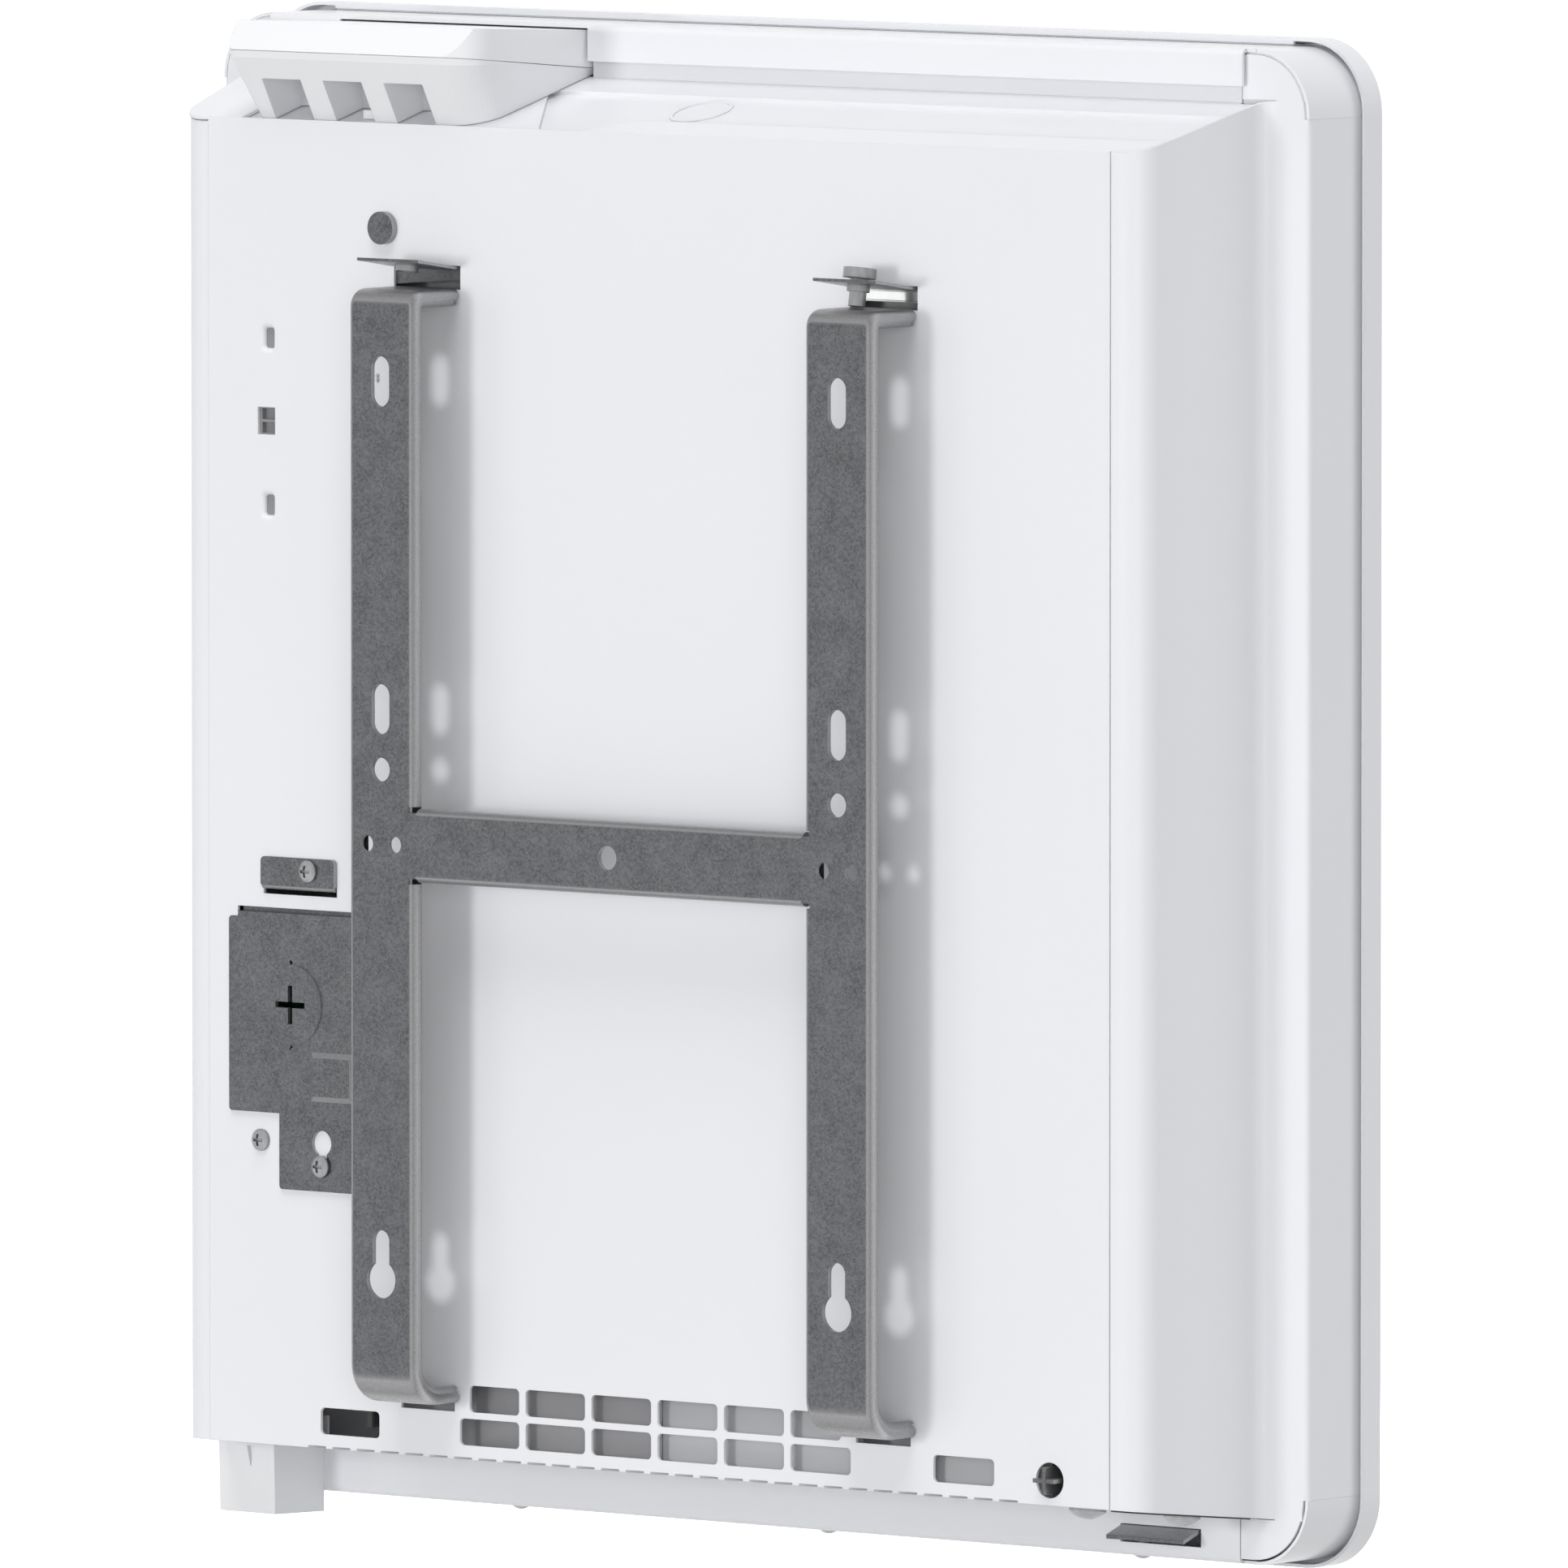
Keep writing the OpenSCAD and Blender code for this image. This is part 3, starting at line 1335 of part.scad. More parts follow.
module latch_tab() {
  // bent spring tab out of the slot in the bottom flange
  x0 = latch_x0 + latch_ease;
  x1 = latch_x1 - latch_ease;
  z1 = latch_z1 - gap;
  tip = flange_d - latch_out;
  color(zinc) {
    box(x0, x1, flange_d, flange_in + latch_in, z1 - latch_t, z1);
    box(x0, x1, flange_in, flange_in + latch_t, z1 - eps, z1 + latch_up);
    along_x(x0, x1) polygon([[-flange_d - eps, z1], [-flange_d - eps, z1 - latch_t],
      [-tip, z1 - latch_fall - latch_t], [-tip, z1 - latch_fall]]);
  }
}
module cross_stud() {
  d0 = rear_d - 3 * sheet;
  d1 = rear_in + stud_in;
  color(bright_zinc) {
    box(stud_x - stud_w / 2, stud_x + stud_w / 2, d0, d1, stud_z - stud_t / 2, stud_z + stud_t / 2);
    box(stud_x - stud_t / 2, stud_x + stud_t / 2, d0, d1, stud_z - stud_w / 2, stud_z + stud_w / 2);
    box(stud_x - stud_w, stud_x + stud_w, d1 - eps, d1 + sheet, bottom_z(d1) + sheet, stud_z + stud_w);
  }
}
module port_plan(z, grow) {
  rect(port_x - port_w / 2 - grow, port_x + port_w / 2 + grow, z - port_h / 2 - grow, z + port_h / 2 + grow);
}
module sensor_ports() {
  // sensor bodies behind the upper and lower rear windows
  color(grey) for (z = [port_z[0], port_z[2]])
    along_d(rear_d + roll_r, rear_d + roll_r + port_body) roll_plan(z);
}
module service_port() {
  // two-way connector behind the middle window
  color(grey) difference() {
    along_d(rear_in, rear_in + service_depth) port_plan(port_z[1], port_wall);
    for (s = [-1, 1]) translate([0, 0, port_z[1] + s * port_h / 4])
      box(port_x - way_w / 2, port_x + way_w / 2, rear_in - over, rear_in + way_depth, -way_h / 2, way_h / 2);
  }
}

// Inside the casing
module heat_shield() {
  color(aluminised) {
    box(shield_x0, shield_x1, shield_d, shield_d + shield_t, shield_z0, shield_z1);
    box(shield_x0, shield_x1, rear_in, shield_d + shield_t, shield_z1 - shield_t, shield_z1);
    box(shield_x0, shield_x1, rear_in, rear_in + shield_t, shield_z1 - shield_hem, shield_z1);
    box(shield_x0, shield_x0 + shield_t, rear_in, shield_d + shield_t, shield_z0 + shield_end, shield_z1);
  }
}
module partition() {
  color(aluminised) box(bay_u, bay_u + shield_t, rear_in, partition_front, partition_z0, partition_z1);
}
module heating_element() {
  // extruded body with fins and a tube at each end
  color(aluminised) {
    along_x(element_x0 + element_end, element_x1 - element_end) translate([-element_d, element_z]) {
      square(element_core, center = true);
      for (i = [0:fin_count - 1]) translate([0, (i - (fin_count - 1) / 2) * fin_pitch])
        square(fin, center = true);
    }
    peg_x(element_x0, element_x1, element_d, element_z, tube_d);
  }
}
module element_bushes() {
  color(ivory) for (x = [element_x0 + bush_edge, element_x1 - bush_edge - bush_l]) difference() {
    peg_x(x, x + bush_l, element_d, element_z, bush_d);
    peg_x(x - over, x + bush_l + over, element_d, element_z, tube_d + 2 * thread_clear);
  }
}
module element_bracket() {
  d0 = shield_d + shield_t;
  difference() {
    union() {
      box(0, holder_t, d0, element_d + holder_depth, element_z - holder_h / 2, element_z + holder_h / 2);
      box(0, holder_foot, d0, d0 + holder_t, element_z - holder_h / 2, element_z + holder_h / 2);
    }
    peg_x(-over, holder_t + over, element_d, element_z, bush_d + 2 * thread_clear);
  }
}
module element_brackets() {
  color(aluminised) {
    translate([element_x0 + holder_edge, 0, 0]) element_bracket();
    translate([element_x1 - holder_edge, 0, 0]) mirror([1, 0, 0]) element_bracket();
  }
}
module thermal_cutout() {
  d0 = shield_d + shield_t;
  color(black) {
    peg_d(0, cutout_z, d0, d0 + cutout_h, cutout_d);
    translate([-cutout_plate[0] / 2, -d0 - cutout_plate[1], cutout_z - cutout_plate[2] / 2]) cube(cutout_plate);
    for (s = [-1, 1]) translate([s * cutout_blade_x, -d0 - cutout_h - cutout_blade[1] / 2 + eps, cutout_z])
      cube(cutout_blade, center = true);
  }
}
module power_board() {
  color(board_green) box(board_x0, board_x1, board_d, board_d + board_t, board_z0, board_z1);
}
module board_posts() {
  color(ivory) for (x = [board_x0 + post_inset, board_x1 - post_inset],
    z = [board_z0 + post_inset, board_z1 - post_inset]) peg_d(x, z, rear_in, board_d, post_d);
}
module relay() {
  color(black) translate([board_x0 + relay_edge, -board_d - board_t - relay_size[1], board_z1 - relay_fall])
    cube(relay_size);
}
module terminal_block() {
  x0 = board_x0 + term_edge;
  z0 = board_z0 + term_rise;
  front = board_d + board_t + term_size[1];
  color(ivory) difference() {
    translate([x0, -front, z0]) cube(term_size);
    for (i = [0:2]) {
      x = x0 + term_first + i * term_pitch;
      peg_z(x, front - term_back, z0 - over, z0 + term_deep - over, term_bore);
      peg_d(x, z0 + term_deep, front - term_first, front + over, term_bore);
    }
  }
}

bracket_rail_right();
bracket_rail_left();
bracket_crossbar();
rear_panel();
side_panel_left();
side_panel_right();
top_plate();
shell_top();
shell_bottom();
front_panel();
outlet_grille();
control_base();
control_cap();
control_board();
display_window();
display_module();
key_minus();
key_menu();
key_plus();
switch_block();
mains_rocker();
rocker_pin();
hanger_right();
hanger_left();
clinch_nuts();
locking_screw();
spacer_disc();
clamp_plate();
rear_screw_set();
cover_screw();
cable_cover();
foot_screw_set();
shell_screw_set();
latch_tab();
cross_stud();
sensor_ports();
service_port();
heat_shield();
partition();
heating_element();
element_bushes();
element_brackets();
thermal_cutout();
power_board();
board_posts();
relay();
terminal_block();
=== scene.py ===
"""Looks of the wall convector heater: finishes, small pieces, studio light and the photograph's camera."""
import json
import math

import bmesh
import bpy
from mathutils import Matrix, Vector


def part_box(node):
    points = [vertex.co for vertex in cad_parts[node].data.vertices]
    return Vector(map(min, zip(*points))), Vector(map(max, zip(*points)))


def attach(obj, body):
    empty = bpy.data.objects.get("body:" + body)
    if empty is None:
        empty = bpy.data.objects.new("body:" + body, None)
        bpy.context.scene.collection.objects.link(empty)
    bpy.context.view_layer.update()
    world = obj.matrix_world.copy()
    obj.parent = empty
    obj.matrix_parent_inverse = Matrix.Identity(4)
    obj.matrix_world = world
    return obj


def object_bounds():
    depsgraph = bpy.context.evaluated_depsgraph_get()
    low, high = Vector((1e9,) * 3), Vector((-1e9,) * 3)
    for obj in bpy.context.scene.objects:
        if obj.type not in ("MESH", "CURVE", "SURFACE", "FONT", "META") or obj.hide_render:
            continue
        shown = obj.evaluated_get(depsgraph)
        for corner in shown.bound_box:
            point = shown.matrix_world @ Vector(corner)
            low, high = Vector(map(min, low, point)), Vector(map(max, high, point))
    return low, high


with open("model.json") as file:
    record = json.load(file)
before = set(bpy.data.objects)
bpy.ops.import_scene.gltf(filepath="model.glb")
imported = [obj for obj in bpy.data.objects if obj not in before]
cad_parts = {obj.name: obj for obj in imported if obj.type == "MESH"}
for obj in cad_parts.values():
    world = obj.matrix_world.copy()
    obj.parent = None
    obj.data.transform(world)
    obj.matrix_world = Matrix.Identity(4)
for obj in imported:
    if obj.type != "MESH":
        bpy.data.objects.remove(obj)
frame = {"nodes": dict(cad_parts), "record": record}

CAD_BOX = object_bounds()
NODES = frame["nodes"]
MM = 0.001
SIDES = (1, -1)
WHITE = (1.0, 1.0, 1.0, 1.0)

# Photograph: square picture, camera fitted to the rear panel, bracket and front edge
CAMERA_AZIMUTH = math.radians(220.135)
CAMERA_ELEVATION = math.radians(4.0055)
CAMERA_DISTANCE = 8.8275
CAMERA_LENS = 686.37
CAMERA_SENSOR = 36.0
CAMERA_REACH = 200.0
AIM_RIGHT = 0.05223
AIM_UP = 0.02187

# Studio: a hanging heater over a wide pale floor, in a white room
FLOOR_DROP = 0.25
FLOOR_REACH = 60.0
FLOOR_GREY = (0.45, 0.45, 0.45, 1.0)
FLOOR_GLOW = 0.78
AMBIENT = 0.29

# Lamps: kind, name, place, target, size (metres, or degrees for the far one) and strength
LAMPS = (
    ("AREA", "key", (0.86, 3.2, 0.2), (0.0, 0.0, 0.0), 0.6, 32.0),
    ("AREA", "fill", (-2.25, 2.67, 0.25), (0.0, 0.0, 0.0), 1.6, 29.0),
    ("AREA", "side", (-2.4, -1.8, 0.3), (0.0, -0.05, 0.0), 1.6, 14.5),
    ("AREA", "crown", (0.2, -0.9, 2.6), (0.0, -0.05, 0.1), 2.0, 6.0),
    ("SUN", "top", (-0.3, 0.9, 2.6), (0.0, -0.05, 0.1), 40.0, 1.6),
    ("AREA", "front", (1.2, -2.8, 0.7), (0.0, -0.1, 0.0), 2.0, 58.0),
)

# Finishes: edges are eased by this radius, and most of a noise's values lie between low and high
EDGE_RADIUS = 0.3 * MM
EDGE_SAMPLES = 4
NOISE_LOW = 0.3
NOISE_HIGH = 0.7

# Paint and plastic: clouds and patches of gloss, to the metre
CLOUD_SCALE = 9.0
GLOSS_SCALE = 55.0

# Painted and moulded finishes: colour, roughness where dull and where glossy, orange peel to the metre
# and its depth in millimetres, and how dark the clouds are
COATED = {
    "white_enamel": ((0.825, 0.833, 0.862), 0.27, 0.24, 650.0, 0.01, 0.985),
    "white_plastic": ((0.86, 0.866, 0.885), 0.38, 0.32, 1400.0, 0.01, 0.985),
    "grille_plastic": ((0.74, 0.745, 0.76), 0.55, 0.42, 1800.0, 0.04, 0.97),
    "white_screw": ((0.56, 0.56, 0.58), 0.40, 0.28, 1500.0, 0.03, 0.97),
    "key_plastic": ((0.60, 0.60, 0.62), 0.55, 0.42, 2200.0, 0.04, 0.97),
    "black_plastic": ((0.020, 0.020, 0.022), 0.55, 0.40, 2200.0, 0.05, 0.7),
    "grey_plastic": ((0.31, 0.31, 0.322), 0.6, 0.45, 2200.0, 0.05, 0.75),
    "dark_glass": ((0.010, 0.011, 0.013), 0.12, 0.05, 300.0, 0.004, 0.8),
    "board_green": ((0.012, 0.085, 0.035), 0.5, 0.3, 900.0, 0.04, 0.7),
    "natural_plastic": ((0.68, 0.65, 0.57), 0.6, 0.45, 1500.0, 0.04, 0.97),
    "aluminised": ((0.46, 0.465, 0.48), 0.62, 0.50, 500.0, 0.02, 0.93),
}

# Bright metals: colour, roughness, scratches to the metre, and how dark they are. Patches of gloss are
# coarser than the scratches, and relief is finer
PLATED = {
    "zinc_screw": ((0.39, 0.394, 0.403), 0.42, 700.0, 0.82),
    "element_aluminium": ((0.95, 0.953, 0.957), 0.16, 300.0, 0.96),
}
PLATED_METAL = 0.9
PLATED_GLOSS = 0.06
PLATED_DULL = 0.1
PATCH_RATIO = 0.25
RELIEF_RATIO = 2.0
SCRATCH_STRETCH = (1.0, 1.0, 0.2)
RELIEF_STRETCH = (1.0, 1.0, 0.15)
SCRATCH_DEPTH = 0.02 * MM
SCRATCH_STRENGTH = 0.5

# Galvanised steel: its patterns to the metre, their shares in the colour, and the painted highlight greys
# round a fold, which stand in for the reflections that bends and cut edges catch
ZINC_DARK = (0.046, 0.047, 0.051)
ZINC_LIGHT = (0.264, 0.269, 0.282)
ZINC_ROUGHNESS = 0.40
ZINC_GLOSSY = 0.30
ZINC_DULL = 0.50
ZINC_METAL = 0.85
SPANGLE_SCALE = 1500.0
FLECK_SCALE = 3000.0
FLECK_RANGE = (0.40, 0.74)
FLECK_SHARE = 0.6
MOTTLE_SCALE = 120.0
MOTTLE_RANGE = (0.2, 0.9)
MOTTLE_SHARE = 0.25
SHEEN_SPECKLE_SCALE = 2600.0
SHEEN_SPECKLE_DARK = 0.72
SHEEN_GREYS = ((0.0, 0.20), (0.07, 0.34), (0.28, 0.25), (0.7, 0.50), (1.0, 0.44))
SHEEN_BLUE = 1.02
SHEEN_RANGE = (0.01, 0.08)
RELIEF_SCALE = 1800.0
RELIEF_DEPTH = 0.03 * MM
RELIEF_STRENGTH = 0.6


class Finish:
    """A procedural material: one Principled shader and the nodes that feed it."""

    def __init__(self, name, base, roughness, metallic=0.0):
        self.mat = bpy.data.materials.new(name)
        self.mat.use_nodes = True
        self.tree = self.mat.node_tree
        self.shader = self.tree.nodes["Principled BSDF"]
        self.mat.diffuse_color = (*base, 1.0)
        for socket, value in (("Base Color", (*base, 1.0)), ("Roughness", roughness), ("Metallic", metallic)):
            self.shader.inputs[socket].default_value = value
        self.coords = self.add("ShaderNodeTexCoord").outputs["Object"]

    def add(self, kind, **values):
        node = self.tree.nodes.new(kind)
        for key, value in values.items():
            setattr(node, key, value)
        return node

    def link(self, out, into):
        self.tree.links.new(out, into)

    def feed(self, socket, out):
        self.link(out, self.shader.inputs[socket])

    def noise(self, scale, detail=3.0, rough=0.5, stretch=(1.0, 1.0, 1.0)):
        """Noise with `scale` features to the metre, squeezed along the axes by `stretch`."""
        mapping = self.add("ShaderNodeMapping")
        mapping.inputs["Scale"].default_value = stretch
        self.link(self.coords, mapping.inputs["Vector"])
        node = self.add("ShaderNodeTexNoise")
        for socket, value in (("Scale", scale), ("Detail", detail), ("Roughness", rough)):
            node.inputs[socket].default_value = value
        self.link(mapping.outputs["Vector"], node.inputs["Vector"])
        return node.outputs["Fac"]

    def cells(self, scale):
        """Random grey of crystal cells, `scale` to the metre."""
        node = self.add("ShaderNodeTexVoronoi")
        node.inputs["Scale"].default_value = scale
        self.link(self.coords, node.inputs["Vector"])
        split = self.add("ShaderNodeSeparateColor")
        self.link(node.outputs["Color"], split.inputs["Color"])
        return split.outputs["Red"]

    def stops(self, value, stops):
        """Colours or greys at several places along a 0 to 1 value."""
        node = self.add("ShaderNodeValToRGB")
        elements = node.color_ramp.elements
        while len(elements) < len(stops):
            elements.new(1.0)
        for element, (place, shade) in zip(elements, stops):
            element.position = place
            element.color = (*shade, 1.0) if isinstance(shade, tuple) else (shade, shade, shade, 1.0)
        self.link(value, node.inputs["Fac"])
        return node.outputs["Color"]

    def ramp(self, value, low, high, start=NOISE_LOW, end=NOISE_HIGH):
        """Colours or greys that go from low at the start to high at the end of a value's range."""
        return self.stops(value, ((start, low), (end, high)))

    def mix(self, a, b, amount, blend="MIX"):
        """Two colours mixed, by an amount that is a number or a socket."""
        node = self.add("ShaderNodeMix", data_type="RGBA", blend_type=blend)
        for socket, value in (("A", a), ("B", b)):
            target = [s for s in node.inputs if s.name == socket and s.type == "RGBA"][0]
            self.link(value, target)
        factor = node.inputs["Factor"]
        if isinstance(amount, float):
            factor.default_value = amount
        else:
            self.link(amount, factor)
        return [s for s in node.outputs if s.type == "RGBA"][0]

    def folded(self):
        """0 on rolled faces that lie along the wall and 1 on folded and cut faces: the mask of the painted
        sheen.
        """
        split = self.add("ShaderNodeSeparateXYZ")
        self.link(self.add("ShaderNodeNewGeometry").outputs["Normal"], split.inputs["Vector"])
        facing = self.add("ShaderNodeMath", operation="ABSOLUTE")
        self.link(split.outputs["Y"], facing.inputs[0])
        turned = self.add("ShaderNodeMath", operation="SUBTRACT")
        turned.inputs[0].default_value = 1.0
        self.link(facing.outputs["Value"], turned.inputs[1])
        return turned.outputs["Value"]

    def bump(self, height, depth, strength=1.0):
        """Surface relief from `height`, over eased edges."""
        eased = self.add("ShaderNodeBevel", samples=EDGE_SAMPLES)
        eased.inputs["Radius"].default_value = EDGE_RADIUS
        node = self.add("ShaderNodeBump")
        node.inputs["Distance"].default_value = depth
        node.inputs["Strength"].default_value = strength
        self.link(height, node.inputs["Height"])
        self.link(eased.outputs["Normal"], node.inputs["Normal"])
        self.feed("Normal", node.outputs["Normal"])


def darker(colour, shade):
    """A colour scaled down."""
    return tuple(c * shade for c in colour)


def coated(name, base, dull, gloss, peel_scale, peel_depth, shade):
    """Paint or moulded plastic: faint clouding, uneven gloss and orange peel."""
    finish = Finish(name, base, (dull + gloss) / 2)
    clouds = finish.noise(CLOUD_SCALE, detail=4.0)
    finish.feed("Base Color", finish.ramp(clouds, darker(base, shade), base))
    finish.feed("Roughness", finish.ramp(finish.noise(GLOSS_SCALE), gloss, dull))
    finish.bump(finish.noise(peel_scale, detail=2.0), peel_depth * MM)
    return finish.mat


def plated(name, base, roughness, scale, shade):
    """Plated or rolled bright metal with fine scratches and uneven gloss."""
    finish = Finish(name, base, roughness, metallic=PLATED_METAL)
    scratches = finish.noise(scale, stretch=SCRATCH_STRETCH)
    finish.feed("Base Color", finish.ramp(scratches, darker(base, shade), base))
    patches = finish.noise(scale * PATCH_RATIO)
    finish.feed("Roughness", finish.ramp(patches, roughness - PLATED_GLOSS, roughness + PLATED_DULL))
    relief = finish.noise(scale * RELIEF_RATIO, stretch=RELIEF_STRETCH)
    finish.bump(relief, SCRATCH_DEPTH, SCRATCH_STRENGTH)
    return finish.mat


def galvanised():
    """Hot-dip zinc: fine spangle, cloudy mottling and bright flecks, with a painted sheen: bends and cut
    edges get lighter greys than flat faces, by how the normal turns from the wall, in place of reflections.
    """
    finish = Finish("galvanised", ZINC_LIGHT, ZINC_ROUGHNESS, metallic=ZINC_METAL)
    spangle = finish.cells(SPANGLE_SCALE)
    grain = finish.ramp(spangle, ZINC_DARK, ZINC_LIGHT, 0.0, 1.0)
    fleck = finish.ramp(finish.noise(FLECK_SCALE, rough=0.8), ZINC_DARK, ZINC_LIGHT, *FLECK_RANGE)
    mottle = finish.ramp(finish.noise(MOTTLE_SCALE, detail=5.0), ZINC_DARK, ZINC_LIGHT, *MOTTLE_RANGE)
    flats = finish.mix(finish.mix(grain, fleck, FLECK_SHARE), mottle, MOTTLE_SHARE)
    # Painted reflection: faces turned from the wall get the speckled sheen greys, and flat faces keep darker
    # greys, the zinc's own speckle and a painted dark reflection
    turn = finish.folded()
    greys = finish.stops(turn, [(place, (grey, grey, grey * SHEEN_BLUE)) for place, grey in SHEEN_GREYS])
    sheen_speckle = finish.ramp(finish.noise(SHEEN_SPECKLE_SCALE, rough=0.7), SHEEN_SPECKLE_DARK, 1.0)
    painted_sheen = finish.mix(greys, sheen_speckle, 1.0, "MULTIPLY")
    finish.feed("Base Color", finish.mix(flats, painted_sheen, finish.ramp(turn, 0.0, 1.0, *SHEEN_RANGE)))
    finish.feed("Roughness", finish.ramp(spangle, ZINC_GLOSSY, ZINC_DULL, 0.0, 1.0))
    finish.bump(finish.noise(RELIEF_SCALE), RELIEF_DEPTH, RELIEF_STRENGTH)
    return finish.mat


def dress_nodes():
    """Gives every CAD node the finish of its material slot."""
    for part in frame["record"]["subparts"]:
        mesh = NODES[part["node"]].data
        mesh.materials.clear()
        mesh.materials.append(MATERIALS[part["material_slot"]])


MATERIALS = {"galvanised": galvanised()}
MATERIALS.update((slot, coated(slot, *values)) for slot, values in COATED.items())
MATERIALS.update((slot, plated(slot, *values)) for slot, values in PLATED.items())
dress_nodes()

# Small pieces that only the pictures need. Places are in millimetres in the CAD's frame: y is 0 at the
# wall and falls towards the front, z points up, and a depth is minus y. The rear panel's rearmost point,
# at a top corner, is 0.4 mm nearer the wall than its face.
PANEL_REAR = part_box("rear_panel")[1].y / MM
PANEL_INSIDE = -22.4
SHELL_LOW, SHELL_HIGH = (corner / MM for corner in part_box("shell_top"))
SHELL_TOP = SHELL_HIGH.z
SHELL_RADIUS = SHELL_TOP - SHELL_LOW.z
SHELL_CENTRE = SHELL_HIGH.x - SHELL_RADIUS

# Signs on the keys: round-ended bars, raised from the key
MARK_WIDTH = 0.7
MARK_HEIGHT = 0.15
MARK_LENGTH = 3.6
MARK_PITCH = 1.3
MARK_STEPS = 6

# Pips on the rear panel: low domes, cut off just below the pole, level with the panel's rearmost point
PIP_X = 107.9
PIP_HEIGHTS = (137.8, 136.5)
PIP_RADIUS = 0.6
PIP_RISE = 0.35
PIP_SWEEP = 84
PIP_STEPS = 4
PIP_SIDES = 15

# Foil behind the window: its edges, back face, and (rise, inset) up and over the turned rim
FOIL_X = (-101.2, -75.8)
FOIL_Z = (166.6, 170.1)
FOIL_BACK = -24.75
FOIL_RIM = ((0.0, 0.0), (0.25, 0.0), (0.25, 0.3), (0.125, 0.45))

# Seal under the front panel's lip: half its width, its y from nose to front, and its faces above the shell
LIP_HALF = 185.6
LIP_NOSE = -92.3
LIP_REAR = -92.5
LIP_FRONT = -98.8
LIP_UNDER = 0.05
LIP_OVER = 0.45

# Seals in the shell's top corners: insets from the round, y of their faces, and the straight run before it
CORNER_INNER = 1.55
CORNER_OUTER = 1.05
CORNER_INNER_REAR = -69.7
CORNER_OUTER_REAR = -69.55
CORNER_FRONT = -70.0
CORNER_RUN = 4.0
CORNER_STEPS = 16

# Tabs behind the notches at the top corners: an L of thin sheet
TAB_X = (185.0, 197.0)
TAB_REAR = -70.2
TAB_FRONT = -74.0
TAB_TOP = 228.4
TAB_BOTTOM = 224.4
THIN_SHEET = 0.6

# Gasket in the control unit's seam, which rises towards the wall: corner radii, the depth where its arms end,
# its section as (inset, lift), and the seam's slope
GASKET_WIDE = 12.0
GASKET_WIDE_STEPS = 12
GASKET_TIGHT = 3.0
GASKET_TIGHT_STEPS = 6
GASKET_END = 82.0
GASKET_SECTION = ((0.25, 0.02), (0.25, 0.13), (1.6, 0.13), (1.6, 0.02))
SEAM_GAP = 0.15
SEAM_BEND = 69.0
SEAM_RISE = 4.6 / 55.0

# Sheets behind the air slots, parallel to the rear panel: how far behind it, and where they start, bend
# and end
BAFFLE_GAP = 0.1
BAFFLE_DEPTH = 3.0
VENT_ROWS = (-181.5, -160.5)
SINGLE_ROW = (-181.5, -170.5)
BRIGHT_X = (-77.0, 0.0)
SINGLE_X = (-134.0, -104.0)
DUCT_START, DUCT_BEND, DUCT_END = (0.2, 52.0, 76.0)
DUCT_SWEEP = 3.6
DUCT_SWEEP_IN = 3.5
DUCT_FLANGE = 7.8

# Post on the bottom plate behind the other single slot: an L of sheet
POST_X = (136.0, 138.8)
POST_Z = (-184.2, -175.4)
POST_REAR = -30.4
POST_SHEET = 0.8
POST_LIP = 1.2

# Black strip with a bead beside the partition, and a black cap with eased corners on its edge, both painted
# shade for the dark inside of the slot: (x, y) outlines and heights
SHADE_STRIP_OUTLINE = ((111.3, -22.6), (111.9, -22.6), (111.9, -33.0), (111.3, -33.0), (111.3, -24.0),
                (111.1, -23.6), (111.1, -23.0))
SHADE_STRIP_Z = (-177.0, -150.0)
CAP_OUTLINE = ((111.3, -22.0), (113.1, -22.0), (113.3, -22.2), (113.3, -22.38), (111.1, -22.38),
               (111.1, -22.2))
CAP_Z = (-177.0, -172.05)

# Black strip under the left side panel, a painted shadow line: along the rear, round a corner and out along
# the flared wall. Its section is (inset, lift) below an edge that falls towards the front
EDGE_HEIGHT = -184.3
EDGE_FALL = 0.1
EDGE_GAP = 0.4
EDGE_START = 175.2
EDGE_CENTRE = 177.4
EDGE_ROUND = 10.0
EDGE_ANGLES = (90, 10)
EDGE_STEPS = 8
FLARE_END = (193.2, 43.1)
FLARE_NORMAL = (-0.985, 0.173)
EDGE_SECTION = ((0.1, -0.03), (0.1, -0.45), (0.9, -0.45), (0.9, -0.03))


def loft(bm, rings):
    """Joins rings of equal length, in millimetres, into a closed skin with the first and last ring filled."""
    verts = [[bm.verts.new(Vector(point) * MM) for point in ring] for ring in rings]
    for low, high in zip(verts, verts[1:]):
        for i in range(len(low)):
            j = (i + 1) % len(low)
            bm.faces.new((low[i], low[j], high[j], high[i]))
    bm.faces.new(verts[0][::-1])
    bm.faces.new(verts[-1])


def piece(name, skins, body, slot):
    """Makes an object of lofted skins that rides on a body and wears that slot's finish."""
    bm = bmesh.new()
    for rings in skins:
        loft(bm, rings)
    bmesh.ops.recalc_face_normals(bm, faces=bm.faces)
    mesh = bpy.data.meshes.new(name)
    bm.to_mesh(mesh)
    bm.free()
    mesh.materials.append(MATERIALS[slot])
    obj = bpy.data.objects.new(name, mesh)
    bpy.context.scene.collection.objects.link(obj)
    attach(obj, body)


def extruded(name, outline, axis, span, slot):
    """A sheet or seal of one cross-section: a (y, z) outline run along x, or an (x, y) one along z."""
    if axis == "x":
        rings = [[(place, y, z) for y, z in outline] for place in span]
    else:
        rings = [[(x, y, place) for x, y in outline] for place in span]
    piece(name, [rings], "heater", slot)


def round_corner(x, depth, radius, start, end, steps):
    """Points round a corner in plan, each with the normal that points to the centre."""
    points = []
    for i in range(steps + 1):
        a = math.radians(start + (end - start) * i / steps)
        points.append((x + radius * math.cos(a), depth - radius * math.sin(a), -math.cos(a), math.sin(a)))
    return points


